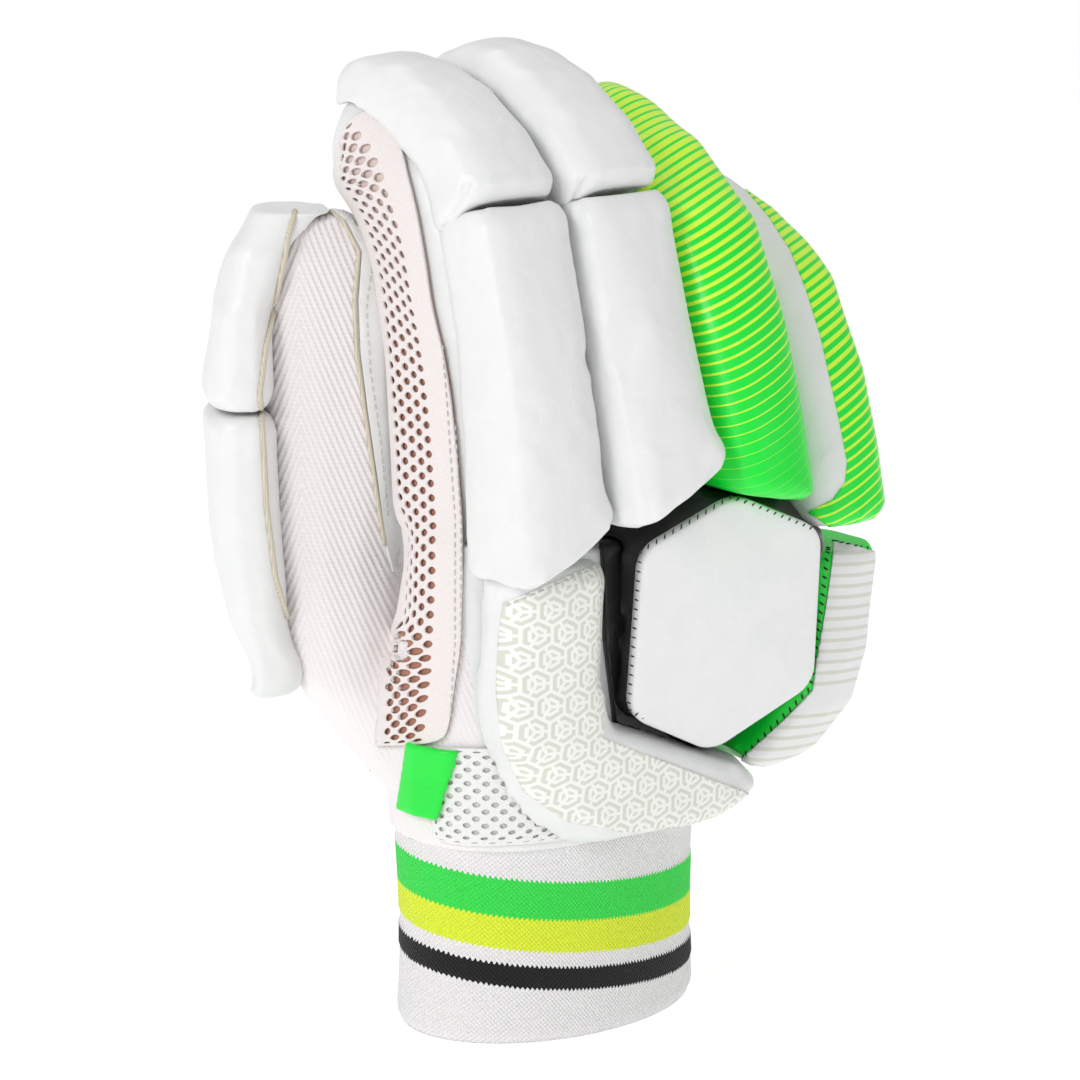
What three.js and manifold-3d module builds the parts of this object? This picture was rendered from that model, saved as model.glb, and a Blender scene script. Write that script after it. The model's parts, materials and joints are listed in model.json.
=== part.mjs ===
// Cricket batting glove for the right hand, in millimetres.
// The origin is the middle of the cuff's mouth. +Z runs up to the fingertips, the back of the hand
// faces -Y, the palm faces +Y and the thumb is at -X.
import * as THREE from 'three';
import { mergeVertices } from 'three/addons/utils/BufferGeometryUtils.js';
import Module from 'manifold-3d';

const wasm = await Module();
wasm.setup();

// Clearance between two pieces that touch on the real glove.
const GAP = 0.3;

// Walls.
const CUFF_WALL = 2.4;
const SHELL_WALL = 1.8;
const STALL_WALL = 1.8;
const MESH_THICKNESS = 1.4;
const FACE_THICKNESS = 1.3;
const STRIP_THICKNESS = 1.2;

// Knitted cuff.
const CUFF_WIDTH = 90;
const CUFF_DEPTH = 64;
const CUFF_HEIGHT = 54;

// Distance from one finger's middle to the next, and what is left beside the pads and the stalls.
const FINGER_PITCH = 31;
const PAD_CLEARANCE = 0.8;
const STALL_CLEARANCE = 4;

// Hand shell: from the cuff to the roof that the fingers stand on. The knuckles are narrower than four
// pitches by KNUCKLE_INSET.
const HAND_HEIGHT = 76;
const KNUCKLE_INSET = 5;
const KNUCKLE_WIDTH = 4 * FINGER_PITCH - KNUCKLE_INSET;
const HAND_DEPTH = 52;
const HAND_DRIFT = 14;
const KNUCKLE_BACK = 9;
const ROOF_SLOPE = -0.11;

// Base of the thumb, a short cone on the shell.
const THENAR_WIDTH = 46;
const THENAR_RISE = 44;
const THENAR_SIDE = 41;
const THENAR_FORWARD = 34;

// Finger stalls. The row of fingers stands FINGERS_SHIFT from the middle of the knuckles.
const STALL_WIDTH = FINGER_PITCH - STALL_CLEARANCE;
const STALL_DEPTH = 38;
const FINGERS_SHIFT = 2.5;
const INDEX_SIDE = 1.5 * FINGER_PITCH - HAND_DRIFT - FINGERS_SHIFT;
const FINGER_CURL = 43;
const INDEX_RISE = 104;
const MIDDLE_RISE = 109;
const RING_RISE = 95;
const LITTLE_RISE = 73;
const INDEX_BACK = 4.5;
const MIDDLE_BACK = 7.5;
const RING_BACK = 13;
const LITTLE_BACK = 8;

// Pads on the fingers.
const PAD_WIDTH = FINGER_PITCH - PAD_CLEARANCE;
const PAD_THICKNESS = 22;

// Thumb stall and its pads. FACING is the direction of its pads in degrees, and STEP the rise of a
// station below its foot, as a share of the thumb's rise.
const THUMB_WIDTH = 32;
const THUMB_DEPTH = 34;
const THUMB_RISE = 118;
const THUMB_LEAN = 8;
const THUMB_FACING = 150;
const THUMB_FORWARD_LEAN = 4;
const THUMB_STEP = 0.25;
const THUMB_PAD_WIDTH = 38;
const THUMB_PAD_THICKNESS = 16;

// Knuckle pad, a hexagon with its points up and down.
const HEXAGON_WIDTH = 55;
const HEXAGON_HEIGHT = 72;
const HEXAGON_EDGE = 42;
const HEXAGON_SIDE = 26;
const HEXAGON_UP = 110;
const HEXAGON_OUT = 45;
const HEXAGON_DEPTH = 22;
const HEXAGON_FLARE = 6.5;
const HEXAGON_LEAN = 8;
const HEXAGON_TURN = 8;
const HEXAGON_CORNER = 3.2;
const HEXAGON_PIPING = 2.2;

// Pad on the little finger side, and the L-shaped gauntlet pad.
const ULNAR_THICKNESS = 12;
const ULNAR_WIDTH = 24;
const ULNAR_HEIGHT = 58;
const ULNAR_UP = 65;
const GAUNTLET_THICKNESS = 12;
const GAUNTLET_WIDTH = 40;
const GAUNTLET_HEIGHT = 77;

// Pull tab. FRONT and UP are shares of the hand's depth and height.
const TAB_FRONT = -0.33;
const TAB_UP = 0.1;
const TAB_WIDTH = 15;
const TAB_SLANT = 5;
const TAB_HEIGHT = 20;
const TAB_THICKNESS = 1.8;

// Spacer mesh round the back of the wrist.
const WRIST_MESH_HEIGHT = 40;
const WRIST_MESH_WRAP = 6;

// How far a stitched face stays inside the edge of its pad.
const FACE_INSET = 3.2;

// Leather strip along the thumb: its foot and height are shares of the thumb's rise, and its edge of
// the thumb's depth.
const STRIP_UP = 0.04;
const STRIP_HEIGHT = 0.9;
const STRIP_EDGE = 0.24;

// Striped face of the little finger's pad, as shares of the pad's width and thickness.
const LITTLE_FACE_WIDTH = 0.7;
const LITTLE_FACE_SHIFT = 0.1;
const LITTLE_FACE_BACK = 0.5;

// Holes of the mesh gusset. WRAP is the share of the stall's width that the gusset wraps over, PALM and
// BACK how far it reaches to either side, as shares of half the stall's depth.
const HOLE_SIZE = 4;
const HOLE_PITCH = 7.6;
const HOLE_ROW_PITCH = 6.9;
const HOLE_MARGIN = 2.6;
const HOLE_END = 5.2;
const GUSSET_WRAP = 0.3;
const GUSSET_PALM = 0.94;
const GUSSET_BACK = 0.9;

// Sides of the sections.
const SIDES = 14;
const SHELL_SIDES = 24;
const STALL_SIDES = 12;

// Squareness of the sections: 2 is an ellipse, and more is closer to a box.
const CUFF_SQUARE = 2.1;
const SHELL_SQUARE = 2.3;
const STALL_SQUARE = 2.6;
const THUMB_SQUARE = 2.2;
const LOWER_PAD_SQUARE = 3.4;
const TIP_PAD_SQUARE = 2.8;
const RING_PAD_SQUARE = 2.4;
const LITTLE_PAD_SQUARE = 2.8;
const THUMB_PAD_SQUARE = 2.8;
const BACK_PAD_SQUARE = 3.2;

// Share of a back pad's depth from which its face is cut.
const FACE_ROOT = 0.6;

// Roughness of each finish.
const SMOOTH_LEATHER = 0.45;
const MATT_LEATHER = 0.55;
const KNITTED = 0.9;
const NETTED = 0.8;

// Stations of a finger from below its root to round its tip. up is a share of the finger's rise, curl
// of how far the tip curls to the palm, and lean is the section's tilt in degrees.
const FINGER_LINE = [
  { up: -0.14, curl: 0.0, lean: 0 },
  { up: 0.17, curl: 0.02, lean: 0 },
  { up: 0.46, curl: 0.08, lean: 4 },
  { up: 0.7, curl: 0.22, lean: 16 },
  { up: 0.84, curl: 0.44, lean: 30 },
  { up: 0.94, curl: 0.8, lean: 48 },
  { up: 0.985, curl: 1.0, lean: 62 },
  { up: 0.97, curl: 1.12, lean: 95 },
  { up: 0.93, curl: 1.15, lean: 125 },
];

// Sections of a finger stall. wide and deep are shares of the stall's width and depth.
const STALL_SECTIONS = [
  { station: 0, wide: 1, deep: 1 },
  { station: 1, wide: 1, deep: 1 },
  { station: 2, wide: 1, deep: 0.99 },
  { station: 3, wide: 0.99, deep: 1 },
  { station: 4, wide: 0.97, deep: 0.95 },
  { station: 5, wide: 0.92, deep: 0.86 },
  { station: 5.7, wide: 0.8, deep: 0.74 },
  { station: 6.2, wide: 0.56, deep: 0.52 },
];

// Depth of the mesh gusset at each station, as a share of the stall's depth.
const GUSSET_DEEP = [1, 1, 0.99, 1, 0.95, 0.86, 0.6].map((deep) => ({ deep }));

// The fingers. drop moves a pad's lower end down the finger, in stations, slant is the slope of that
// end across the finger, and flare how far it stands out, as a share of the pad's thickness.
const FINGERS = [
  { name: 'index', back: INDEX_BACK, rise: INDEX_RISE, drop: 0.3, slant: 0.45, flare: 0.25 },
  { name: 'middle', back: MIDDLE_BACK, rise: MIDDLE_RISE, drop: -0.15, slant: 0.5, flare: 0.5 },
  { name: 'ring', back: RING_BACK, rise: RING_RISE, drop: -0.2, slant: -0.2, flare: 0.45 },
  { name: 'little', back: LITTLE_BACK, rise: LITTLE_RISE, drop: 0, slant: 0, flare: 0.3 },
].map((finger, i) => ({ ...finger, x: i * FINGER_PITCH - INDEX_SIDE }));
const [index, middle, ring, little] = FINGERS;

// Sections of the finger pads. wide is a share of the pad's width, rise of its thickness, and hug says
// how far down the stall's side the pad starts, as a share of half the stall's depth. slant is the
// slope of a pad's end across the finger.
const LOWER_PAD_SECTIONS = [
  { station: 0.8, knuckle: 1, wide: 0.86, rise: 0.84, hug: 0.95 },
  { station: 0.87, knuckle: 1, wide: 1, rise: 1, hug: 0.8 },
  { station: 1.5, knuckle: 0.5, wide: 1, rise: 1.02, hug: 0.8 },
  { station: 2.2, knuckle: 0.1, wide: 1, rise: 1, hug: 0.8 },
  { station: 3.05, knuckle: 0, wide: 0.99, rise: 0.94, hug: 0.8 },
  { station: 3.22, knuckle: 0, wide: 0.93, rise: 0.8, hug: 0.9 },
];
const TIP_PAD_SECTIONS = [
  { station: 3.28, knuckle: 0, wide: 0.92, rise: 0.8, hug: 0.9 },
  { station: 3.45, knuckle: 0, wide: 1, rise: 0.97, hug: 0.8 },
  { station: 4, knuckle: 0, wide: 1, rise: 0.83, hug: 0.75 },
  { station: 4.6, knuckle: 0, wide: 1, rise: 0.64, hug: 0.65 },
  { station: 5.1, knuckle: 0, wide: 0.98, rise: 0.42, hug: 0.5 },
  { station: 5.8, knuckle: 0, wide: 0.92, rise: 0.12, hug: 0.35 },
  { station: 6.4, knuckle: 0, wide: 0.8, rise: -0.14, hug: 0.3 },
  { station: 6.7, knuckle: 0, wide: 0.58, rise: -0.34, hug: 0.25 },
];
const ROLL_PAD_SECTIONS = [
  { station: 0.8, knuckle: 1, wide: 0.84, rise: 0.8, hug: 0.95 },
  { station: 0.9, knuckle: 1, wide: 1, rise: 1, hug: 0.8 },
  { station: 1.6, knuckle: 0.5, wide: 1, rise: 1.04, hug: 0.8 },
  { station: 2.4, knuckle: 0.1, wide: 1, rise: 1.02, hug: 0.8 },
  { station: 3.4, knuckle: 0, wide: 1, rise: 0.88, hug: 0.75 },
  { station: 4.5, knuckle: 0, wide: 1, rise: 0.62, hug: 0.65 },
  { station: 5.1, knuckle: 0, wide: 0.98, rise: 0.42, hug: 0.5 },
  { station: 5.8, knuckle: 0, wide: 0.92, rise: 0.12, hug: 0.35 },
  { station: 6.4, knuckle: 0, wide: 0.8, rise: -0.14, hug: 0.3 },
  { station: 6.7, knuckle: 0, wide: 0.58, rise: -0.34, hug: 0.25 },
];

// How far the knuckle pad's sides flare at each depth.
const HEXAGON_FLARES = [
  { down: 0, flare: 0 },
  { down: 0.35, flare: 0.6 },
  { down: 1, flare: 1 },
];

// Sections of the hand shell. up is a share of the hand's height, drift of its lean to the little
// finger, back of how far the knuckles stand back, wide of the knuckle width, deep of the hand's depth
// and slope of the roof's slope.
const SHELL_SECTIONS = [
  { up: 0, drift: 0, back: 0, wide: 0.756, deep: 1.23, slope: 0 },
  { up: 0.25, drift: 0.05, back: -0.1, wide: 0.765, deep: 1.17, slope: 0 },
  { up: 0.5, drift: 0.35, back: 0.2, wide: 0.85, deep: 1.08, slope: 0.2 },
  { up: 0.75, drift: 0.75, back: 0.7, wide: 0.96, deep: 1.02, slope: 0.6 },
  { up: 1, drift: 1, back: 1, wide: 1, deep: 0.96, slope: 1 },
];
const THENAR_SECTIONS = [
  { up: 0, side: 0.34, forward: 0.2, wide: 1 },
  { up: 0.5, side: 0.68, forward: 0.6, wide: 0.94 },
  { up: 0.8, side: 0.88, forward: 0.86, wide: 0.86 },
];

// Thumb: up is a share of the thumb's rise, lean of its lean away from the hand.
const THUMB_LINE = [
  { up: 0, lean: 0 },
  { up: 0.25, lean: 0.3 },
  { up: 0.5, lean: 0.45 },
  { up: 0.75, lean: 0.6 },
  { up: 0.9, lean: 0.85 },
  { up: 1, lean: 1.1 },
];
const THUMB_SECTIONS = [
  { station: 0, wide: 1, deep: 1.06 },
  { station: 1, wide: 1.02, deep: 1.04 },
  { station: 2, wide: 1, deep: 1 },
  { station: 3, wide: 0.96, deep: 0.96 },
  { station: 4, wide: 0.84, deep: 0.82 },
  { station: 4.7, wide: 0.6, deep: 0.54 },
];
const THUMB_PAD_LOWER = [
  { station: -0.35, wide: 0.72, rise: 0.7, hug: 0.95 },
  { station: -0.25, wide: 0.84, rise: 1, hug: 0.85 },
  { station: 0.8, wide: 1, rise: 1.05, hug: 0.8 },
  { station: 2.1, wide: 1, rise: 1, hug: 0.8 },
  { station: 2.22, wide: 0.9, rise: 0.8, hug: 0.95 },
];
const THUMB_PAD_TIP = [
  { station: 2.28, wide: 0.88, rise: 0.8, hug: 0.95 },
  { station: 2.42, wide: 0.97, rise: 1, hug: 0.8 },
  { station: 3.2, wide: 0.97, rise: 0.86, hug: 0.75 },
  { station: 4.2, wide: 0.88, rise: 0.42, hug: 0.3 },
  { station: 5, wide: 0.6, rise: -0.2, hug: -0.4 },
];

// Pads on the back of the hand, from the wrist up. side is the middle of a section and wide its width,
// both as shares of the pad's width, base of half the hand's depth, out of the pad's thickness, turn in
// degrees.
const GAUNTLET_SECTIONS = [
  { up: 0, side: 0.16, wide: 1, base: 1.24, out: 0.3, turn: -4 },
  { up: 0.03, side: 0.22, wide: 1.5, base: 1.24, out: 0.8, turn: -4 },
  { up: 0.1, side: 0.28, wide: 1.86, base: 1.22, out: 1, turn: -4 },
  { up: 0.2, side: 0.14, wide: 1.8, base: 1.2, out: 1, turn: -6 },
  { up: 0.3, side: -0.12, wide: 1.35, base: 1.18, out: 1, turn: -8 },
  { up: 0.42, side: -0.4, wide: 0.9, base: 1.16, out: 1, turn: -12 },
  { up: 0.6, side: -0.47, wide: 0.82, base: 1.16, out: 1, turn: -12 },
  { up: 0.95, side: -0.46, wide: 0.82, base: 1.2, out: 1, turn: -12 },
  { up: 1, side: -0.46, wide: 0.76, base: 1.2, out: 0.7, turn: -12 },
];
const ULNAR_SECTIONS = [
  { up: 0, side: -0.3, wide: 1.1, base: 1.1, out: 0.6, turn: 8 },
  { up: 0.06, side: -0.2, wide: 1.5, base: 1.1, out: 0.9, turn: 8 },
  { up: 0.25, side: 0.2, wide: 1.5, base: 1.15, out: 1, turn: 8 },
  { up: 0.5, side: 0.42, wide: 1.3, base: 1.2, out: 1, turn: 8 },
  { up: 0.94, side: 0.5, wide: 1.2, base: 1.25, out: 1, turn: 8 },
  { up: 1, side: 0.5, wide: 1.1, base: 1.25, out: 0.85, turn: 8 },
];

// Gusset of holed mesh below the index finger, from the wrist up. up is a share of the hand's height,
// palm and back are shares of half the hand's depth.
const GUSSET_SECTIONS = [
  { up: 0.4, palm: 0.42, back: -0.8 },
  { up: 0.7, palm: 0.6, back: -0.88 },
];
const GUSSET_STATIONS = [0.1, 1, 2, 3, 4, 5, 5.7];

// Value between two rows of a table, on a smooth curve through the rows.
function between(rows, station) {
  const last = rows.length - 1;
  const held = Math.min(Math.max(station, 0), last);
  const i = Math.min(Math.floor(held), last - 1);
  const t = held - i;
  const row = {};
  for (const key of Object.keys(rows[0])) {
    const a = rows[Math.max(i - 1, 0)][key];
    const b = rows[i][key];
    const c = rows[i + 1][key];
    const d = rows[Math.min(i + 2, last)][key];
    const slopeIn = (c - a) / 2;
    const slopeOut = (d - b) / 2;
    const t2 = t * t;
    const t3 = t2 * t;
    row[key] = b * (2 * t3 - 3 * t2 + 1) + c * (3 * t2 - 2 * t3)
      + slopeIn * (t3 - 2 * t2 + t) + slopeOut * (t3 - t2);
  }
  return row;
}

// Closed solid from a geometry whose shared vertices are merged.
function solidOf(geometry) {
  geometry.deleteAttribute('normal');
  geometry.deleteAttribute('uv');
  const merged = mergeVertices(geometry, 1e-4);
  const solid = new wasm.Manifold(new wasm.Mesh({
    numProp: 3,
    vertProperties: new Float32Array(merged.attributes.position.array),
    triVerts: new Uint32Array(merged.index.array),
  }));
  return solid;
}

// Skin through rings of points, closed by a fan at each end.
function skinOf(rings) {
  const sides = rings[0].length;
  const points = [];
  const faces = [];
  rings.forEach((ring) => ring.forEach((p) => points.push(p.x, p.y, p.z)));
  for (let r = 0; r < rings.length - 1; r += 1) {
    for (let i = 0; i < sides; i += 1) {
      const a = r * sides + i;
      const b = r * sides + ((i + 1) % sides);
      faces.push(a, b, b + sides, a, b + sides, a + sides);
    }
  }
  for (const end of [0, rings.length - 1]) {
    const middle = new THREE.Vector3();
    rings[end].forEach((p) => middle.add(p));
    middle.divideScalar(sides);
    const hub = points.length / 3;
    points.push(middle.x, middle.y, middle.z);
    for (let i = 0; i < sides; i += 1) {
      const a = end * sides + i;
      const b = end * sides + ((i + 1) % sides);
      faces.push(...(end === 0 ? [hub, b, a] : [hub, a, b]));
    }
  }
  const geometry = new THREE.BufferGeometry();
  geometry.setAttribute('position', new THREE.Float32BufferAttribute(points, 3));
  geometry.setIndex(faces);
  return solidOf(geometry);
}

// One ring round a frame: a rounded box of the given half width that spans near to far along out.
function ringOf(frame, shape, grow, sides) {
  const halfWidth = shape.halfWidth + grow;
  const halfDepth = (shape.far - shape.near) / 2 + grow;
  const middle = (shape.far + shape.near) / 2;
  const power = 2 / shape.square;
  const ring = [];
  for (let i = 0; i < sides; i += 1) {
    const angle = (-2 * Math.PI * (i + 0.5)) / sides;
    const c = Math.cos(angle);
    const s = Math.sin(angle);
    const x = halfWidth * Math.sign(c) * Math.abs(c) ** power;
    const y = middle + halfDepth * Math.sign(s) * Math.abs(s) ** power;
    const point = frame.centre.clone();
    point.addScaledVector(frame.across, x);
    point.addScaledVector(frame.out, y);
    point.addScaledVector(frame.along, (shape.slant ?? 0) * x);
    ring.push(point);
  }
  return ring;
}

// Loft through frames and shapes. A positive grow moves every face out by that much, ends included, and
// open lengthens the start.
function loftOf(rows, grow, sides, open = 0) {
  const last = rows.length - 1;
  const rings = rows.map(({ frame, shape }, i) => {
    const moved = { ...frame, centre: frame.centre.clone() };
    if (i === 0) moved.centre.addScaledVector(frame.along, -grow - open);
    if (i === last) moved.centre.addScaledVector(frame.along, grow);
    return ringOf(moved, shape, grow, sides);
  });
  return skinOf(rings);
}

const UP = new THREE.Vector3(0, 0, 1);

// Roof of the shell: its height over a place across the hand.
const ROOF_UP = CUFF_HEIGHT + HAND_HEIGHT;
function roofAt(x) {
  return ROOF_UP + ROOF_SLOPE * (x - HAND_DRIFT);
}

// Frame of a finger at a station.
function fingerFrame(finger, station) {
  const row = between(FINGER_LINE, station);
  const lean = THREE.MathUtils.degToRad(row.lean);
  return {
    centre: new THREE.Vector3(
      finger.x,
      -finger.back + FINGER_CURL * row.curl,
      roofAt(finger.x) + finger.rise * row.up,
    ),
    across: new THREE.Vector3(1, 0, 0),
    out: new THREE.Vector3(0, -Math.cos(lean), Math.sin(lean)),
    along: new THREE.Vector3(0, Math.sin(lean), Math.cos(lean)),
  };
}

function stall(finger, grow) {
  const rows = STALL_SECTIONS.map((row) => ({
    frame: fingerFrame(finger, row.station),
    shape: {
      halfWidth: (STALL_WIDTH / 2) * row.wide,
      near: (-STALL_DEPTH / 2) * row.deep,
      far: (STALL_DEPTH / 2) * row.deep,
      square: STALL_SQUARE,
    },
  }));
  return loftOf(rows, grow, STALL_SIDES);
}

function fingerPad(finger, sections, square, grow, narrow = 1) {
  const rows = sections.map((row) => ({
    frame: fingerFrame(finger, row.station - finger.drop * row.knuckle),
    shape: {
      halfWidth: (PAD_WIDTH / 2) * row.wide * narrow,
      near: (STALL_DEPTH / 2) * row.hug + (narrow < 1 ? PAD_THICKNESS * LITTLE_FACE_BACK : 0),
      far: STALL_DEPTH / 2 + PAD_THICKNESS * (row.rise + finger.flare * row.knuckle),
      square,
      slant: finger.slant * row.knuckle,
    },
  }));
  return loftOf(rows, grow, SIDES);
}

function shellBody(grow, open = 0) {
  const rows = SHELL_SECTIONS.map((row) => ({
    frame: {
      centre: new THREE.Vector3(
        HAND_DRIFT * row.drift,
        -KNUCKLE_BACK * row.back,
        CUFF_HEIGHT + GAP + (HAND_HEIGHT - GAP) * row.up,
      ),
      across: new THREE.Vector3(1, 0, 0),
      out: new THREE.Vector3(0, -1, 0),
      along: UP,
    },
    shape: {
      halfWidth: (KNUCKLE_WIDTH / 2) * row.wide,
      near: (-HAND_DEPTH / 2) * row.deep,
      far: (HAND_DEPTH / 2) * row.deep,
      square: SHELL_SQUARE,
      slant: ROOF_SLOPE * row.slope,
    },
  }));
  return loftOf(rows, grow, SHELL_SIDES, open);
}

// Frame of the thumb: out points away from the hand, where its pads are.
function thumbFrame(station) {
  const row = between(THUMB_LINE, station);
  const below = Math.min(station, 0);
  const facing = THREE.MathUtils.degToRad(THUMB_FACING);
  const out = new THREE.Vector3(Math.cos(facing), Math.sin(facing), 0);
  const centre = new THREE.Vector3(
    -THENAR_SIDE - THUMB_LEAN * row.lean,
    THENAR_FORWARD + THUMB_FORWARD_LEAN * row.lean,
    CUFF_HEIGHT + THENAR_RISE + 2 * GAP + THUMB_RISE * (row.up + THUMB_STEP * below),
  );
  return { centre, across: new THREE.Vector3().crossVectors(out, UP).negate(), out, along: UP };
}

function thumbRow(row) {
  return {
    frame: thumbFrame(row.station),
    shape: {
      halfWidth: (THUMB_WIDTH / 2) * row.wide,
      near: (-THUMB_DEPTH / 2) * row.deep,
      far: (THUMB_DEPTH / 2) * row.deep,
      square: THUMB_SQUARE,
    },
  };
}
function thumb(grow, open = 0) {
  return loftOf(THUMB_SECTIONS.map(thumbRow), grow, SIDES, open);
}

// Base of the thumb. Its last section is the thumb's own foot.
function thenar(grow, open = 0) {
  const foot = thumbRow(THUMB_SECTIONS[0]);
  const rows = THENAR_SECTIONS.map((row) => ({
    frame: {
      ...foot.frame,
      centre: new THREE.Vector3(
        -THENAR_SIDE * row.side,
        THENAR_FORWARD * row.forward,
        CUFF_HEIGHT + GAP + THENAR_RISE * row.up,
      ),
    },
    shape: {
      halfWidth: (THENAR_WIDTH / 2) * row.wide,
      near: (-THENAR_WIDTH / 2) * row.wide,
      far: (THENAR_WIDTH / 2) * row.wide,
      square: foot.shape.square,
    },
  }));
  foot.frame.centre.z -= GAP;
  rows.push(foot);
  return loftOf(rows, grow, SIDES, open);
}

function thumbPad(sections, grow) {
  const rows = sections.map((row) => ({
    frame: thumbFrame(row.station),
    shape: {
      halfWidth: (THUMB_PAD_WIDTH / 2) * row.wide,
      near: (THUMB_DEPTH / 2) * row.hug,
      far: THUMB_DEPTH / 2 + THUMB_PAD_THICKNESS * row.rise,
      square: THUMB_PAD_SQUARE,
    },
  }));
  return loftOf(rows, grow, SIDES);
}

// Pad on the back of the hand. thicker raises its outer face, and trim narrows it all round.
function backPad(pad, grow, thicker = 0, trim = 0) {
  const last = pad.sections.length - 1;
  const rows = pad.sections.map((row, i) => {
    const turn = THREE.MathUtils.degToRad(row.turn);
    const end = (i === 0 ? trim : 0) - (i === last ? trim : 0);
    const far = (HAND_DEPTH / 2) * row.base + pad.thickness * row.out;
    return {
      frame: {
        centre: new THREE.Vector3(pad.x + pad.width * row.side, 0, pad.z + pad.height * row.up + end),
        across: new THREE.Vector3(Math.cos(turn), Math.sin(turn), 0),
        out: new THREE.Vector3(Math.sin(turn), -Math.cos(turn), 0),
        along: UP,
      },
      shape: {
        halfWidth: (pad.width / 2) * row.wide - trim,
        near: thicker > 0 ? far * FACE_ROOT : 0,
        far: far + thicker,
        square: BACK_PAD_SQUARE,
      },
    };
  });
  return loftOf(rows, grow, SIDES);
}
const gauntlet = {
  x: 0,
  z: CUFF_HEIGHT + GAP,
  width: GAUNTLET_WIDTH,
  height: GAUNTLET_HEIGHT,
  thickness: GAUNTLET_THICKNESS,
  sections: GAUNTLET_SECTIONS,
};
const ulnar = {
  x: HEXAGON_SIDE + HEXAGON_WIDTH / 2,
  z: ULNAR_UP,
  width: ULNAR_WIDTH,
  height: ULNAR_HEIGHT,
  thickness: ULNAR_THICKNESS,
  sections: ULNAR_SECTIONS,
};

// Straight bar with the outline as its section, laid along an axis.
function barOf(outline, basis, from, to) {
  const shape = new THREE.Shape(outline.map(([a, b]) => new THREE.Vector2(a, b)));
  const geometry = new THREE.ExtrudeGeometry(shape, { depth: to - from, bevelEnabled: false });
  geometry.translate(0, 0, from);
  geometry.applyMatrix4(basis);
  return solidOf(geometry);
}
// Outlines drawn on the side view (Y, Z) run along X, and those on the back view (X, Z) along -Y.
const ON_SIDE = new THREE.Matrix4().makeBasis(
  new THREE.Vector3(0, 1, 0),
  new THREE.Vector3(0, 0, 1),
  new THREE.Vector3(1, 0, 0),
);
const ON_BACK = new THREE.Matrix4().makeBasis(
  new THREE.Vector3(1, 0, 0),
  new THREE.Vector3(0, 0, 1),
  new THREE.Vector3(0, -1, 0),
);

// Wedge that holds everything above the roof.
function aboveRoof(clearance) {
  const reach = KNUCKLE_WIDTH * 2;
  return barOf([
    [-reach, roofAt(-reach) + clearance],
    [reach, roofAt(reach) + clearance],
    [reach, ROOF_UP + reach],
    [-reach, ROOF_UP + reach],
  ], ON_BACK, -reach, reach);
}

// Hexagon with its corners cut off, all sides moved out by grow.
function hexagonOutline(grow) {
  const half = HEXAGON_WIDTH / 2 + grow;
  const edge = HEXAGON_EDGE / 2 + grow * 0.5;
  const tip = HEXAGON_HEIGHT / 2 + grow;
  const corners = [[half, -edge], [half, edge], [0, tip], [-half, edge], [-half, -edge], [0, -tip]];
  const points = [];
  corners.forEach(([x, y], i) => {
    const before = corners[(i + 5) % 6];
    const after = corners[(i + 1) % 6];
    for (const [a, b] of [before, after]) {
      const share = HEXAGON_CORNER / Math.hypot(a - x, b - y);
      points.push([x + (a - x) * share, y + (b - y) * share]);
    }
  });
  return points;
}

const hexagonBasis = new THREE.Matrix4()
  .makeTranslation(HEXAGON_SIDE, -HEXAGON_OUT, HEXAGON_UP)
  .multiply(new THREE.Matrix4().makeRotationZ(THREE.MathUtils.degToRad(-HEXAGON_TURN)))
  .multiply(new THREE.Matrix4().makeRotationX(THREE.MathUtils.degToRad(HEXAGON_LEAN)))
  .multiply(ON_BACK);

// Hexagonal prism whose sides flare towards the hand. Its face lies in the basis' plane.
function hexagon(grow) {
  const rings = HEXAGON_FLARES.map((row) => hexagonOutline(HEXAGON_FLARE * row.flare + grow).map(
    ([x, y]) => new THREE.Vector3(x, y, -HEXAGON_DEPTH * row.down + (row.down === 0 ? grow : 0))
      .applyMatrix4(hexagonBasis),
  ));
  return skinOf(rings.reverse());
}

// Window round the mesh gusset on the side view: its palm edge going up and its back edge.
function gussetEdges(grow) {
  const rows = GUSSET_SECTIONS.map((row) => {
    const z = CUFF_HEIGHT + HAND_HEIGHT * row.up;
    return {
      palm: new THREE.Vector2((HAND_DEPTH / 2) * row.palm + grow, z),
      back: new THREE.Vector2((HAND_DEPTH / 2) * row.back - grow, z),
    };
  });
  GUSSET_STATIONS.forEach((station) => {
    const frame = fingerFrame(index, station);
    const reach = (STALL_DEPTH / 2) * between(GUSSET_DEEP, station).deep;
    const edge = (side) => new THREE.Vector2(
      frame.centre.y + frame.out.y * side,
      frame.centre.z + frame.out.z * side,
    );
    rows.push({ palm: edge(-reach * GUSSET_PALM - grow), back: edge(reach * GUSSET_BACK + grow) });
  });
  rows[0].palm.y -= grow;
  rows[0].back.y -= grow;
  return rows;
}
function gussetWindow(grow, from, to) {
  const rows = gussetEdges(grow);
  const outline = [...rows.map((row) => row.palm), ...rows.map((row) => row.back).reverse()];
  return barOf(outline.map((p) => [p.x, p.y]), ON_SIDE, from, to);
}

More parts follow.
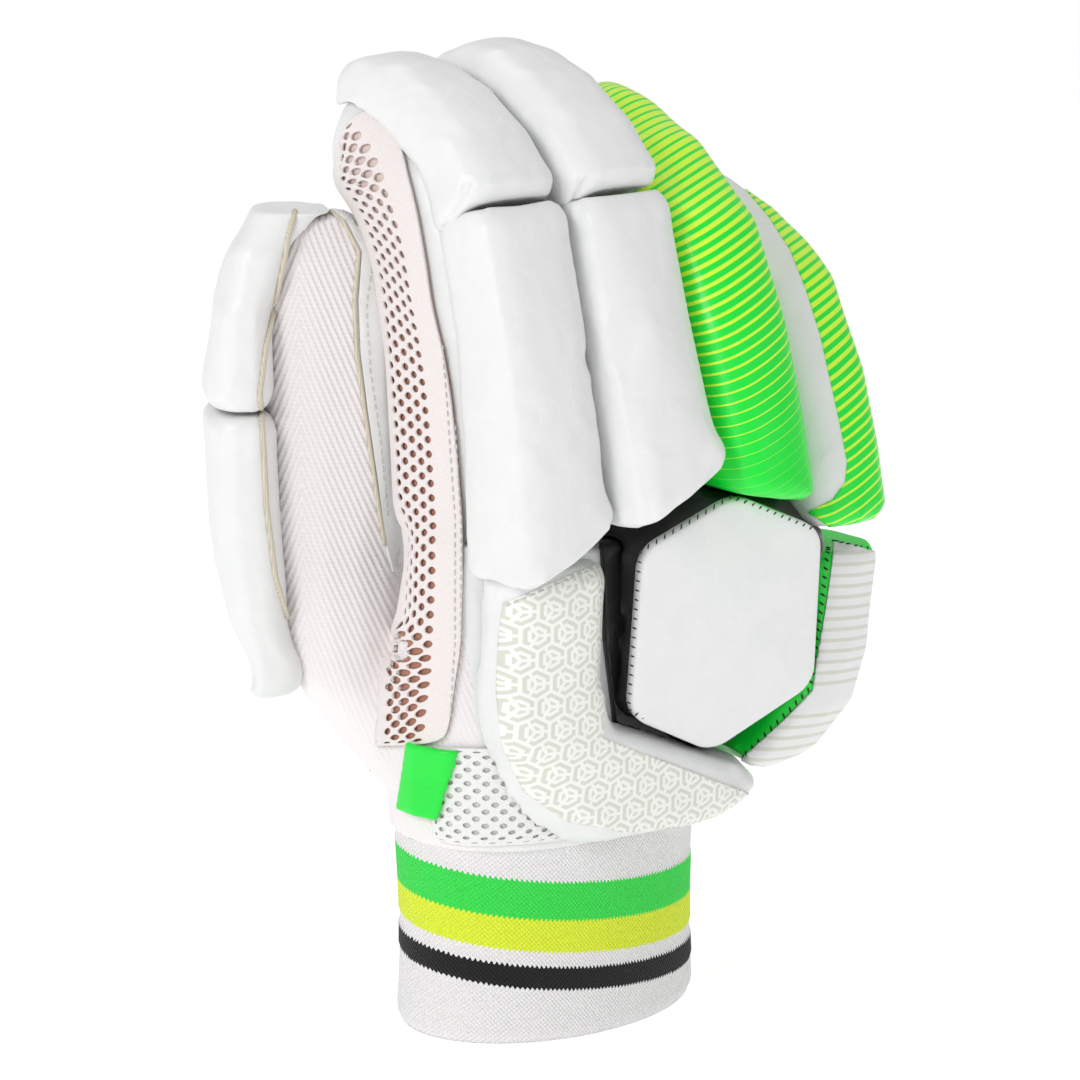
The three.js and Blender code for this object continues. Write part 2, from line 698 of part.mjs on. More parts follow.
// Holes of the gusset, in staggered rows that follow its edges.
function gussetHoles(from, to) {
  const rows = gussetEdges(0);
  const middles = rows.map((row) => row.palm.clone().add(row.back).multiplyScalar(0.5));
  const lengths = [0];
  for (let i = 1; i < rows.length; i += 1) {
    lengths.push(lengths[i - 1] + middles[i].distanceTo(middles[i - 1]));
  }
  const total = lengths[rows.length - 1];
  const count = Math.floor((total - HOLE_PITCH) / HOLE_ROW_PITCH);
  const prisms = [];
  for (let k = 0; k <= count; k += 1) {
    const at = HOLE_END + k * HOLE_ROW_PITCH;
    const i = Math.min(lengths.findIndex((length) => length > at) - 1, rows.length - 2);
    if (at > total - HOLE_END) break;
    const t = (at - lengths[i]) / (lengths[i + 1] - lengths[i]);
    const palm = rows[i].palm.clone().lerp(rows[i + 1].palm, t);
    const back = rows[i].back.clone().lerp(rows[i + 1].back, t);
    const width = palm.distanceTo(back);
    const room = width - 2 * HOLE_MARGIN;
    const holes = Math.floor(room / HOLE_PITCH) + (k % 2);
    for (let h = 0; h < holes; h += 1) {
      const offset = HOLE_MARGIN + room / 2 + (h - (holes - 1) / 2) * HOLE_PITCH;
      const centre = palm.clone().lerp(back, offset / width);
      const outline = [];
      for (let c = 0; c < 6; c += 1) {
        const angle = (c * Math.PI) / 3;
        outline.push([
          centre.x + (HOLE_SIZE / 2) * Math.cos(angle),
          centre.y + (HOLE_SIZE / 2) * Math.sin(angle),
        ]);
      }
      prisms.push(barOf(outline, ON_SIDE, from, to));
    }
  }
  return prisms;
}

const group = new THREE.Group();
function add(name, solid, colour, roughness) {
  const data = solid.getMesh();
  const geometry = new THREE.BufferGeometry();
  geometry.setAttribute('position', new THREE.BufferAttribute(data.vertProperties, 3));
  geometry.setIndex(new THREE.BufferAttribute(data.triVerts, 1));
  geometry.computeVertexNormals();
  const material = new THREE.MeshStandardMaterial({ color: colour, roughness, metalness: 0 });
  const mesh = new THREE.Mesh(geometry, material);
  mesh.name = name;
  group.add(mesh);
}

const WHITE = 0xf0f1f0;
const KNIT = 0xede9ea;
const MESH = 0xf0e6e6;
const GREEN = 0x00f03c;
const BLACK = 0x1c181c;

// Cuff.
function cuffBody(grow, extra) {
  const rows = [-extra, CUFF_HEIGHT + extra].map((z) => ({
    frame: {
      centre: new THREE.Vector3(0, 0, z),
      across: new THREE.Vector3(1, 0, 0),
      out: new THREE.Vector3(0, -1, 0),
      along: UP,
    },
    shape: { halfWidth: CUFF_WIDTH / 2, near: -CUFF_DEPTH / 2, far: CUFF_DEPTH / 2, square: CUFF_SQUARE },
  }));
  return loftOf(rows, grow, SHELL_SIDES);
}
add('wrist_cuff', cuffBody(0, 0).subtract(cuffBody(-CUFF_WALL, 3 * CUFF_WALL)), KNIT, KNITTED);

// Shell.
const outer = shellBody(0).add(thenar(0));
const cavities = FINGERS.map((finger) => stall(finger, -STALL_WALL));
const thumbCavity = thumb(-STALL_WALL, 5 * STALL_WALL);
const openEnd = 5 * SHELL_WALL;
let shell = outer.subtract(shellBody(-SHELL_WALL, openEnd)).subtract(thenar(-SHELL_WALL, openEnd))
  .subtract(thumbCavity);
cavities.forEach((cavity) => {
  shell = shell.subtract(cavity);
});
add('hand_shell', shell, KNIT, KNITTED);

const roofSpace = aboveRoof(GAP);
FINGERS.forEach((finger, i) => {
  const body = stall(finger, 0).intersect(roofSpace).subtract(cavities[i]);
  add(`${finger.name}_stall`, body, WHITE, MATT_LEATHER);
});
add('thumb_stall', thumb(0).subtract(thumbCavity), KNIT, KNITTED);

// Mesh gusset along the index side, and the spacer mesh round the back of the wrist.
const shellClear = shellBody(GAP).add(thenar(GAP));
const SIDE_FROM = -KNUCKLE_WIDTH;
const SIDE_TO = -INDEX_SIDE - STALL_WIDTH * GUSSET_WRAP;
const besideClear = shellClear.add(stall(index, GAP));
const gussetBody = shellBody(GAP + MESH_THICKNESS).add(stall(index, GAP + MESH_THICKNESS))
  .intersect(gussetWindow(0, SIDE_FROM, SIDE_TO));
let gusset = gussetBody.subtract(besideClear);
gussetHoles(SIDE_FROM, SIDE_TO).forEach((hole) => {
  gusset = gusset.subtract(hole);
});
add('side_mesh', gusset, MESH, NETTED);
const gussetClear = shellBody(2 * GAP + MESH_THICKNESS).add(stall(index, 2 * GAP + MESH_THICKNESS))
  .intersect(gussetWindow(GAP, SIDE_FROM, SIDE_TO));

const wristWindow = barOf([
  [-KNUCKLE_WIDTH, CUFF_HEIGHT + 2 * GAP],
  [KNUCKLE_WIDTH, CUFF_HEIGHT + 2 * GAP],
  [KNUCKLE_WIDTH, CUFF_HEIGHT + WRIST_MESH_HEIGHT],
  [-KNUCKLE_WIDTH, CUFF_HEIGHT + WRIST_MESH_HEIGHT],
], ON_BACK, -WRIST_MESH_WRAP, HAND_DEPTH * 2);
add(
  'wrist_mesh',
  shellBody(GAP + MESH_THICKNESS).intersect(wristWindow).subtract(shellClear).subtract(gussetClear),
  MESH,
  NETTED,
);
let underPads = shellBody(2 * GAP + MESH_THICKNESS).add(thenar(GAP)).add(gussetClear);
FINGERS.forEach((finger) => {
  underPads = underPads.add(stall(finger, GAP));
});

// Pads on the fingers.
const fingerPads = [
  ['index_pad_lower', index, LOWER_PAD_SECTIONS, LOWER_PAD_SQUARE, WHITE],
  ['index_pad_tip', index, TIP_PAD_SECTIONS, TIP_PAD_SQUARE, WHITE],
  ['middle_pad_lower', middle, LOWER_PAD_SECTIONS, LOWER_PAD_SQUARE, WHITE],
  ['middle_pad_tip', middle, TIP_PAD_SECTIONS, TIP_PAD_SQUARE, WHITE],
  ['ring_pad', ring, ROLL_PAD_SECTIONS, RING_PAD_SQUARE, GREEN],
  ['little_pad', little, ROLL_PAD_SECTIONS, LITTLE_PAD_SQUARE, WHITE],
];
let fingerPadsClear = null;
fingerPads.forEach(([name, finger, sections, square, colour]) => {
  const body = fingerPad(finger, sections, square, 0);
  add(name, body.subtract(underPads), colour, SMOOTH_LEATHER);
  const clear = fingerPad(finger, sections, square, GAP);
  fingerPadsClear = fingerPadsClear ? fingerPadsClear.add(clear) : clear;
});
const facePath = ROLL_PAD_SECTIONS.slice(1, 6);
const littleFace = { ...little, x: little.x + PAD_WIDTH * LITTLE_FACE_SHIFT };
const faceRise = GAP + FACE_THICKNESS;
add(
  'little_pad_face',
  fingerPad(littleFace, facePath, LITTLE_PAD_SQUARE, faceRise, LITTLE_FACE_WIDTH).subtract(
    fingerPad(little, ROLL_PAD_SECTIONS, LITTLE_PAD_SQUARE, GAP),
  ),
  GREEN,
  SMOOTH_LEATHER,
);

// Pads on the thumb, and the leather strip down its inner side.
const thumbClear = thumb(GAP).add(shellClear);
add('thumb_pad_lower', thumbPad(THUMB_PAD_LOWER, 0).subtract(thumbClear), WHITE, SMOOTH_LEATHER);
add('thumb_pad_tip', thumbPad(THUMB_PAD_TIP, 0).subtract(thumbClear), WHITE, SMOOTH_LEATHER);
const thumbMiddle = thumbFrame(2);
const thumbBasis = new THREE.Matrix4().makeBasis(
  thumbMiddle.across,
  UP,
  thumbMiddle.out,
).setPosition(thumbMiddle.centre.x, thumbMiddle.centre.y, 0);
const stripFoot = CUFF_HEIGHT + THENAR_RISE + THUMB_RISE * STRIP_UP;
const stripTop = stripFoot + THUMB_RISE * STRIP_HEIGHT;
const stripWindow = barOf([
  [-THUMB_WIDTH, stripFoot],
  [THUMB_WIDTH, stripFoot],
  [THUMB_WIDTH, stripTop],
  [-THUMB_WIDTH, stripTop],
], thumbBasis, -THUMB_DEPTH, -THUMB_DEPTH * STRIP_EDGE);
add(
  'thumb_strip',
  thumb(GAP + STRIP_THICKNESS).subtract(thumbClear).intersect(stripWindow),
  WHITE,
  SMOOTH_LEATHER,
);

// Knuckle pad, gauntlet pad and the pad on the little finger side, each with its face.
const backClear = underPads.add(fingerPadsClear);
add('knuckle_pad', hexagon(0).subtract(backClear), BLACK, SMOOTH_LEATHER);
const faceOutline = hexagonOutline(-HEXAGON_PIPING);
add(
  'knuckle_pad_face',
  barOf(faceOutline, hexagonBasis, GAP, faceRise),
  WHITE,
  SMOOTH_LEATHER,
);

const besideHexagon = backClear.add(hexagon(GAP));
const besideGauntlet = besideHexagon.add(backPad(gauntlet, 2 * GAP + FACE_THICKNESS));
const backPads = [
  ['gauntlet_pad', gauntlet, WHITE, besideHexagon],
  ['ulnar_pad', ulnar, GREEN, besideGauntlet],
];
backPads.forEach(([name, pad, colour, clear]) => {
  add(name, backPad(pad, 0).subtract(clear), colour, SMOOTH_LEATHER);
  const face = backPad(pad, 0, faceRise, FACE_INSET).subtract(backPad(pad, GAP));
  add(`${name}_face`, face.subtract(hexagon(FACE_INSET)).subtract(clear), WHITE, SMOOTH_LEATHER);
});

// Pull tab on the side of the wrist.
const tabFront = HAND_DEPTH * TAB_FRONT;
const tabFoot = CUFF_HEIGHT + HAND_HEIGHT * TAB_UP;
const tabWindow = barOf([
  [tabFront + TAB_SLANT, tabFoot],
  [tabFront + TAB_SLANT + TAB_WIDTH, tabFoot],
  [tabFront + TAB_WIDTH, tabFoot + TAB_HEIGHT],
  [tabFront, tabFoot + TAB_HEIGHT],
], ON_SIDE, SIDE_FROM, SIDE_TO);
add(
  'pull_tab',
  shellBody(2 * GAP + MESH_THICKNESS + TAB_THICKNESS).intersect(tabWindow).subtract(underPads)
    .subtract(besideHexagon),
  GREEN,
  SMOOTH_LEATHER,
);

export default group;
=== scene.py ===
import json
import math

import bmesh
import bpy
from mathutils import Matrix, Vector
from mathutils.bvhtree import BVHTree

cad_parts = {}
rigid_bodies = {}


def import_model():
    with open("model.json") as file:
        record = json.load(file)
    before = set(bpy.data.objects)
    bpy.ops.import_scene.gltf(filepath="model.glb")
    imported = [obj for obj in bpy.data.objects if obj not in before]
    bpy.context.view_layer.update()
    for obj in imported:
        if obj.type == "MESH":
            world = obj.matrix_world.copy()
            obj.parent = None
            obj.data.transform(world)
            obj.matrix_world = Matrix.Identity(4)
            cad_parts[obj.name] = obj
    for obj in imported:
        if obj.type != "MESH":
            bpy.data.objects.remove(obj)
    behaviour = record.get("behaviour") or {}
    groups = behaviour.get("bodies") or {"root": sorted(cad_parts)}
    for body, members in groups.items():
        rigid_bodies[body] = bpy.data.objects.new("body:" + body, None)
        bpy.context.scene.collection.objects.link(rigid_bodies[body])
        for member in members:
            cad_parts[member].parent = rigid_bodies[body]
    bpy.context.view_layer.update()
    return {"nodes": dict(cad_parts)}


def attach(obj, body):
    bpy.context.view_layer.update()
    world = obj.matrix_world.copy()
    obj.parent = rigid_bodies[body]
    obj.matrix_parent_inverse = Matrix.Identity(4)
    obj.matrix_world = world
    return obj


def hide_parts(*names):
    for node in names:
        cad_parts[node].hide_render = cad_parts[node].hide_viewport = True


bl_info = {
    "name": "Cricket Batting Glove",
    "version": (1, 0, 0),
    "blender": (4, 5, 0),
    "location": "3D View > Sidebar > Glove",
    "description": "Dresses the glove's solids in leather, knit, mesh and stitching",
    "category": "Add Mesh",
}

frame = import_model()

MM = 0.001
BODY = "root"
# Bands of the cuff: colour, lowest and highest row in millimetres.
CUFF_BANDS = (("cuff_black", 14.8, 21.0), ("cuff_yellow", 25.0, 34.0), ("cuff_green", 34.0, 44.6))


# Colours and small tools


def linear(code):
    """An sRGB hex colour as linear red, green, blue and alpha."""
    value = int(code.lstrip("#"), 16)
    parts = [((value >> shift) & 255) / 255 for shift in (16, 8, 0)]
    return [p / 12.92 if p <= 0.04045 else ((p + 0.055) / 1.055) ** 2.4 for p in parts] + [1.0]


def colour_property(name, description, code):
    """A colour for a property group, from an sRGB hex value."""
    return bpy.props.FloatVectorProperty(
        name=name, description=description, subtype="COLOR", size=4, min=0, max=1, default=linear(code)
    )


def length_property(name, description, millimetres):
    """A length for a property group, given in millimetres."""
    return bpy.props.FloatProperty(
        name=name, description=description, subtype="DISTANCE", unit="LENGTH", default=millimetres * MM
    )


class GloveSizes(bpy.types.PropertyGroup):
    """Sizes of the covers, knits, prints and stitches"""

    pad_grid: length_property("Pad grid", "Spacing of the even faces that a pad's cover is made of", 1.7)
    pad_slack: length_property("Pad slack", "How much smaller a cover starts before its foam swells it", 0.5)
    pad_swell: length_property("Pad swell", "Furthest that a cover may swell", 0.9)
    pad_pressure: bpy.props.FloatProperty(
        name="Pad pressure", description="Pressure of the foam against its cover", default=4.0, min=0
    )
    wall_grid: length_property("Wall grid", "Spacing of the even faces of a thin leather or knit wall", 1.3)
    face_grid: length_property("Face grid", "Spacing of the even faces of a stitched face", 0.75)
    stripe_pitch: length_property("Stripe pitch", "Distance from one printed cross stripe to the next", 2.8)
    rib_pitch: length_property("Rib pitch", "Distance from one rib of the thumb's knit to the next", 1.7)
    loop_pitch: length_property("Loop pitch", "Distance from one loop of the cuff's knit to the next", 1.3)
    stitch_length: length_property("Stitch length", "Length of one stitch", 1.7)
    stitch_pitch: length_property("Stitch pitch", "Distance from one stitch to the next", 2.4)
    thread_width: length_property("Thread width", "Width of the sewing thread", 0.55)
    hexagon_cell: length_property("Hexagon cell", "Width of one cell of the printed hexagon pattern", 7.4)


class GloveColours(bpy.types.PropertyGroup):
    """Colours of the leathers, knits and threads"""

    leather: colour_property("Leather", "White leather", "#E9EAE9")
    green: colour_property("Green", "Neon green leather", "#00E63A")
    lime: colour_property("Lime", "Yellow cross stripes", "#D8FF3A")
    black: colour_property("Black", "Black leather beside the knuckle pad", "#0E0C0E")
    print_grey: colour_property("Print", "Pale printed lines", "#D6D6CB")
    knit: colour_property("Knit", "White knit of thumb and palm", "#F1ECEC")
    knit_shade: colour_property("Knit shade", "Shaded furrows of the knit", "#D8CED0")
    net: colour_property("Net", "Threads of the open mesh", "#F4ECEA")
    net_lining: colour_property("Net lining", "Lining behind the side mesh", "#B98470")
    cuff_green: colour_property("Cuff green", "Green band of the cuff", "#3CEC55")
    cuff_yellow: colour_property("Cuff yellow", "Yellow band of the cuff", "#EDFF3A")
    cuff_black: colour_property("Cuff black", "Black band of the cuff", "#050506")
    binding: colour_property("Binding", "Raw edge of the thumb's leather", "#D9D0BC")
    thread: colour_property("Thread", "Pale sewing thread", "#D9D8D2")


def put(tree, kind, inputs=(), out=0, **settings):
    """Adds one node with its settings, sets or links its inputs, and returns one of its outputs.

    The kind of a Math node ends with its operation, after a point.
    """
    kind, _, operation = kind.partition(".")
    node = tree.nodes.new("ShaderNode" + kind)
    if operation:
        node.operation = operation
    for name, value in settings.items():
        setattr(node, name, value)
    for key, value in inputs.items() if isinstance(inputs, dict) else enumerate(inputs):
        if isinstance(value, bpy.types.NodeSocket):
            tree.links.new(value, node.inputs[key])
        else:
            node.inputs[key].default_value = value
    return node.outputs[out] if node.outputs else node


def blank(name):
    """A new material and its empty tree."""
    material = bpy.data.materials.new(name)
    material.use_nodes = True
    material.node_tree.nodes.clear()
    return material, material.node_tree


def finished(material, colour, relief=None, **sockets):
    """Gives a material its shader, with a colour, a relief and plain values on the shader's own sockets."""
    tree = material.node_tree
    inputs = {key.replace("_", " "): value for key, value in sockets.items()}
    inputs["Base Color"] = colour
    if relief:
        inputs["Normal"] = relief
    put(tree, "OutputMaterial", {"Surface": put(tree, "BsdfPrincipled", inputs)})
    return material


def millimetres(tree):
    """Object coordinates in millimetres."""
    place = put(tree, "TexCoord", out="Object")
    return put(tree, "Mapping", {"Vector": place, "Scale": (1000, 1000, 1000)})


def blended(tree, share, first, second):
    """The first colour where the share is 0 and the second where it is 1."""
    return put(tree, "Mix", {0: share, 6: first, 7: second}, 2, data_type="RGBA")


def darkened(colour, share):
    """A colour times a share."""
    return [c * share for c in list(colour)[:3]] + [1.0]


def waves(tree, value, pitch):
    """A sine wave that repeats at that pitch."""
    return put(tree, "Math.SINE", (put(tree, "Math.MULTIPLY", (value, 2 * math.pi / pitch)),))


def off_middle(tree, value):
    """How far a value lies from the middle of its step of one."""
    step = put(tree, "Math.SUBTRACT", (put(tree, "Math.FRACT", (value,)), 0.5))
    return put(tree, "Math.ABSOLUTE", (step,))


def grained(tree, place, depth=0.05, crease=0.12):
    """Leather relief, pebbles 0.8 mm wide over soft creases 9 mm wide. Returns it and the creases' height."""
    pebbles = put(tree, "TexVoronoi", {"Vector": place, "Scale": 1 / 0.8}, "Distance", feature="SMOOTH_F1")
    creases = put(tree, "TexNoise", {"Vector": place, "Scale": 0.11, "Detail": 4.0, "Distortion": 0.7})
    soft = put(tree, "Bump", {"Height": creases, "Distance": crease * MM * 8, "Strength": 0.5})
    fine = {"Height": pebbles, "Distance": depth * MM, "Strength": 0.6, "Normal": soft}
    return put(tree, "Bump", fine), creases


# Materials


def white_leather():
    """Coated split leather, pressed: a clean white with a soft shine and a fine pebble grain."""
    material, tree = blank("white leather, pressed grain")
    relief, creases = grained(tree, millimetres(tree))
    # The white is darkened along the soft creases: painted shade.
    shade = put(tree, "MapRange", (creases, 0.35, 0.7, 0.0, 0.35))
    colour = blended(tree, shade, bpy.context.scene.glove_colours.leather, linear("#DFE1E1"))
    return finished(material, colour, relief, Roughness=0.42, Coat_Weight=0.12, Coat_Roughness=0.32)


def dyed_leather(name, dye):
    """The same leather dyed through: deep colour with the same soft shine."""
    material, tree = blank(name)
    relief, creases = grained(tree, millimetres(tree))
    # The dye is darkened along the soft creases: painted shade.
    shade = put(tree, "MapRange", (creases, 0.3, 0.75, 0.0, 0.25))
    colour = blended(tree, shade, dye, darkened(dye, 0.8))
    return finished(material, colour, relief, Roughness=0.4, Coat_Weight=0.12, Coat_Roughness=0.3)


def striped_roll_leather(name, start, end, thick, thin):
    """Green leather printed with lime cross stripes that thin out from the fingertip to the knuckle."""
    colours = bpy.context.scene.glove_colours
    material, tree = blank(name)
    relief, _ = grained(tree, millimetres(tree), 0.035, 0.06)
    along = put(tree, "Attribute", out="Fac", attribute_name="along")
    share = put(tree, "MapRange", (along, start, end, thin, thick))
    phase = put(tree, "Math.DIVIDE", (along, bpy.context.scene.glove_sizes.stripe_pitch))
    half = put(tree, "Math.MULTIPLY", (share, 0.5))
    edge = put(tree, "Math.SUBTRACT", (half, off_middle(tree, phase)))
    stripe = put(tree, "MapRange", (edge, -0.03, 0.03, 0.0, 1.0))
    colour = blended(tree, stripe, colours.green, colours.lime)
    return finished(material, colour, relief, Roughness=0.36, Coat_Weight=0.15, Coat_Roughness=0.28)


def stripe_printed_leather():
    """White leather printed with two groups of pale cross stripes, 3 mm apart."""
    colours = bpy.context.scene.glove_colours
    material, tree = blank("white leather, pale stripes")
    place = millimetres(tree)
    relief, _ = grained(tree, place)
    split = put(tree, "SeparateXYZ", (place,)).node.outputs
    tilt = put(tree, "Math.MULTIPLY_ADD", (split[0], 0.12, split[2]))
    phase = put(tree, "Math.DIVIDE", (tilt, 3.0))
    line = put(tree, "MapRange", (off_middle(tree, phase), 0.14, 0.2, 1.0, 0.0))
    above = put(tree, "Math.GREATER_THAN", (tilt, 92.5))
    below = put(tree, "Math.LESS_THAN", (tilt, 86.5))
    group = put(tree, "Math.MULTIPLY", (line, put(tree, "Math.ADD", (above, below))))
    colour = blended(tree, group, colours.leather, colours.print_grey)
    return finished(material, colour, relief, Roughness=0.42, Coat_Weight=0.1, Coat_Roughness=0.32)


def hexagon_printed_leather():
    """White leather printed with nested hexagons in pale grey, each cell about 7 mm wide."""
    cell = bpy.context.scene.glove_sizes.hexagon_cell / MM
    material, tree = blank("white leather, hexagon print")
    place = millimetres(tree)
    relief, _ = grained(tree, place)
    split = put(tree, "SeparateXYZ", (place,)).node.outputs
    side = put(tree, "Math.DIVIDE", (put(tree, "Math.ADD", (split[0], 500.0)), cell))
    up = put(tree, "Math.DIVIDE", (split[2], cell))
    tall = math.sqrt(3)
    # Two grids of cells, and each point belongs to the nearer middle.
    grids = []
    for shift in (0.0, 0.5):
        column = put(tree, "Math.FRACT", (put(tree, "Math.ADD", (side, shift)),))
        x = put(tree, "Math.SUBTRACT", (column, 0.5))
        row = put(tree, "Math.ADD", (put(tree, "Math.DIVIDE", (up, tall)), shift))
        y = put(tree, "Math.SUBTRACT", (put(tree, "Math.FRACT", (row,)), 0.5))
        y = put(tree, "Math.MULTIPLY", (y, tall))
        reach = put(tree, "Math.MULTIPLY_ADD", (x, x, put(tree, "Math.MULTIPLY", (y, y))))
        grids.append((x, y, reach))
    nearer = put(tree, "Math.LESS_THAN", (grids[1][2], grids[0][2]))
    x, y = (put(tree, "Mix", {0: nearer, 2: grids[0][i], 3: grids[1][i]}) for i in (0, 1))
    wide = put(tree, "Math.ABSOLUTE", (x,))
    high = put(tree, "Math.MULTIPLY", (put(tree, "Math.ABSOLUTE", (y,)), tall / 2))
    ring = put(tree, "Math.MAXIMUM", (wide, put(tree, "Math.MULTIPLY_ADD", (wide, 0.5, high))))
    # Rings a quarter of a cell apart, broken along every second spoke.
    phase = off_middle(tree, put(tree, "Math.MULTIPLY", (ring, 4.0)))
    line = put(tree, "MapRange", (phase, 0.22, 0.3, 1.0, 0.0))
    angle = put(tree, "Math.ARCTAN2", (y, x))
    turn = put(tree, "Math.MULTIPLY_ADD", (angle, 3 / (2 * math.pi), 0.5))
    spoke = put(tree, "Math.MULTIPLY", (off_middle(tree, turn), ring))
    open_ring = put(tree, "MapRange", (spoke, 0.02, 0.035, 0.0, 1.0))
    drawn = put(tree, "Math.MULTIPLY", (line, open_ring))
    colour = blended(tree, drawn, linear("#F1F1ED"), bpy.context.scene.glove_colours.print_grey)
    return finished(material, colour, relief, Roughness=0.42, Coat_Weight=0.1, Coat_Roughness=0.32)


def ribbed_knit():
    """Polyester rib knit: fine ribs that meet in a chevron along the thumb's middle, dull and soft."""
    colours = bpy.context.scene.glove_colours
    loop = 2 * math.pi / (1.1 * MM)
    material, tree = blank("white rib knit")
    across = put(tree, "Attribute", out="Fac", attribute_name="across")
    up = put(tree, "Attribute", out="Fac", attribute_name="up")
    chevron = put(tree, "Math.MULTIPLY_ADD", (up, 0.42, put(tree, "Math.ABSOLUTE", (across,))))
    rib = waves(tree, chevron, bpy.context.scene.glove_sizes.rib_pitch)
    loops = waves(tree, up, 1.1 * MM)
    bent = put(tree, "Math.MULTIPLY_ADD", (up, loop, put(tree, "Math.MULTIPLY", (rib, 1.6))))
    height = put(tree, "Math.MULTIPLY_ADD", (put(tree, "Math.SINE", (bent,)), 0.22, rib))
    height = put(tree, "Math.MULTIPLY_ADD", (loops, 0.06, height))
    # Below the thumb the ribs flatten out.
    full = put(tree, "MapRange", (up, 0.085, 0.125, 0.3, 1.0))
    height = put(tree, "Math.MULTIPLY", (height, full))
    relief = put(tree, "Bump", {"Height": height, "Distance": 0.22 * MM, "Strength": 0.8})
    shade = put(tree, "MapRange", (height, -1.2, 0.0, 0.38, 0.0))
    colour = blended(tree, shade, colours.knit, colours.knit_shade)
    return finished(material, colour, relief, Roughness=0.85, Sheen_Weight=0.25, Sheen_Roughness=0.5)


def cuff_knit():
    """Elastic crochet knit: rows of loops with green, yellow and black bands, dull and springy."""
    colours = bpy.context.scene.glove_colours
    pitch = bpy.context.scene.glove_sizes.loop_pitch
    material, tree = blank("elastic crochet knit")
    weave = put(tree, "SeparateXYZ", (put(tree, "UVMap", uv_map="weave"),)).node.outputs
    side = waves(tree, weave[0], pitch)
    loops = put(tree, "Math.MULTIPLY", (side, waves(tree, weave[1], pitch)))
    fuzz = put(tree, "TexNoise", {"Vector": millimetres(tree), "Scale": 1.6, "Detail": 3.0})
    height = put(tree, "Math.MULTIPLY_ADD", (fuzz, 0.9, loops))
    relief = put(tree, "Bump", {"Height": height, "Distance": 0.34 * MM, "Strength": 0.8})
    # A band's edge steps up and down with the loops.
    place = put(tree, "Math.MULTIPLY_ADD", (fuzz, 0.6 * MM, weave[1]))
    place = put(tree, "Math.MULTIPLY_ADD", (side, 0.35 * MM, place))
    colour = linear("#FBF9F9")
    for name, low, high in CUFF_BANDS:
        over = put(tree, "Math.GREATER_THAN", (place, low * MM))
        under = put(tree, "Math.LESS_THAN", (place, high * MM))
        inside = put(tree, "Math.MULTIPLY", (over, under))
        colour = blended(tree, inside, colour, getattr(colours, name))
    # The loops' hollows are darkened in colour: painted shade.
    shade = put(tree, "MapRange", (height, -0.5, 0.6, 0.5, 0.0))
    darker = put(tree, "HueSaturation", {"Color": colour, "Value": 0.72, "Saturation": 1.1})
    colour = blended(tree, shade, colour, darker)
    return finished(material, colour, relief, Roughness=0.88, Sheen_Weight=0.06, Sheen_Roughness=0.5)


def net_thread(name, thread):
    """Warp-knitted polyester: dull threads with a fine twist."""
    material, tree = blank(name)
    fibres = put(tree, "TexNoise", {"Vector": millimetres(tree), "Scale": 2.2, "Detail": 3.0})
    relief = put(tree, "Bump", {"Height": fibres, "Distance": 0.25 * MM, "Strength": 0.8})
    colour = blended(tree, fibres, darkened(thread, 0.82), thread)
    return finished(material, colour, relief, Roughness=0.8, Sheen_Weight=0.2, Sheen_Roughness=0.5)


def net_lining(name, cloth):
    """Foam-backed tricot behind a net: matt, paler towards the fingertips."""
    material, tree = blank(name)
    place = millimetres(tree)
    pores = put(tree, "TexNoise", {"Vector": place, "Scale": 1.2, "Detail": 2.0})
    relief = put(tree, "Bump", {"Height": pores, "Distance": 0.2 * MM, "Strength": 0.7})
    height = put(tree, "SeparateXYZ", (place,)).node.outputs[2]
    pale = put(tree, "MapRange", (height, 175.0, 225.0, 0.0, 0.75))
    return finished(material, blended(tree, pale, cloth, linear("#E9DFDB")), relief, Roughness=0.9)


def twisted_thread(name, thread):
    """Bonded nylon thread: a tight twist with a slight shine."""
    material, tree = blank(name)
    twist = put(tree, "TexWave", {"Vector": millimetres(tree), "Scale": 0.6, "Distortion": 2.0}, "Fac")
    return finished(material, blended(tree, twist, darkened(thread, 0.75), thread), Roughness=0.5)


def studio_paper():
    """Matt white paper under and behind the glove."""
    material, tree = blank("white studio paper")
    tooth = put(tree, "TexNoise", {"Vector": millimetres(tree), "Scale": 0.5})
    colour = blended(tree, tooth, linear("#B4B4B4"), linear("#B7B7B7"))
    glow = {"Emission_Color": linear("#FFFFFF"), "Emission_Strength": 0.72}
    return finished(material, colour, Roughness=0.9, **glow)


# Shapes


def placed(name, shape):
    """Turns a bmesh into a new smooth-shaded piece and frees it."""
    mesh = bpy.data.meshes.new(name)
    shape.to_mesh(mesh)
    shape.free()
    mesh.shade_smooth()
    piece = bpy.data.objects.new(name, mesh)
    bpy.context.scene.collection.objects.link(piece)
    return piece


def settle(piece):
    """Applies a piece's modifiers to its mesh."""
    graph = bpy.context.evaluated_depsgraph_get()
    mesh = bpy.data.meshes.new_from_object(piece.evaluated_get(graph), depsgraph=graph)
    old = piece.data
    piece.modifiers.clear()
    piece.data = mesh
    bpy.data.meshes.remove(old)


def merged(*nodes):
    """A mesh of CAD nodes whose loose triangles are joined."""
    shape = bmesh.new()
    for node in nodes:
        shape.from_mesh(frame["nodes"][node].data)
    bmesh.ops.remove_doubles(shape, verts=shape.verts, dist=0.01 * MM)
    return shape


def evened(piece, grid):
    """Gives a piece even faces of one size."""
    remesh = piece.modifiers.new("even", "REMESH")
    remesh.mode = "VOXEL"
    remesh.voxel_size = grid
    remesh.use_smooth_shade = True
    settle(piece)


def smoothed(shape, rounds):
    """Moves each vertex of a mesh half way to the middle of its neighbours, some rounds."""
    axes = {"use_axis_x": True, "use_axis_y": True, "use_axis_z": True}
    for _ in range(rounds):
        bmesh.ops.smooth_vert(shape, verts=shape.verts, factor=0.5, **axes)


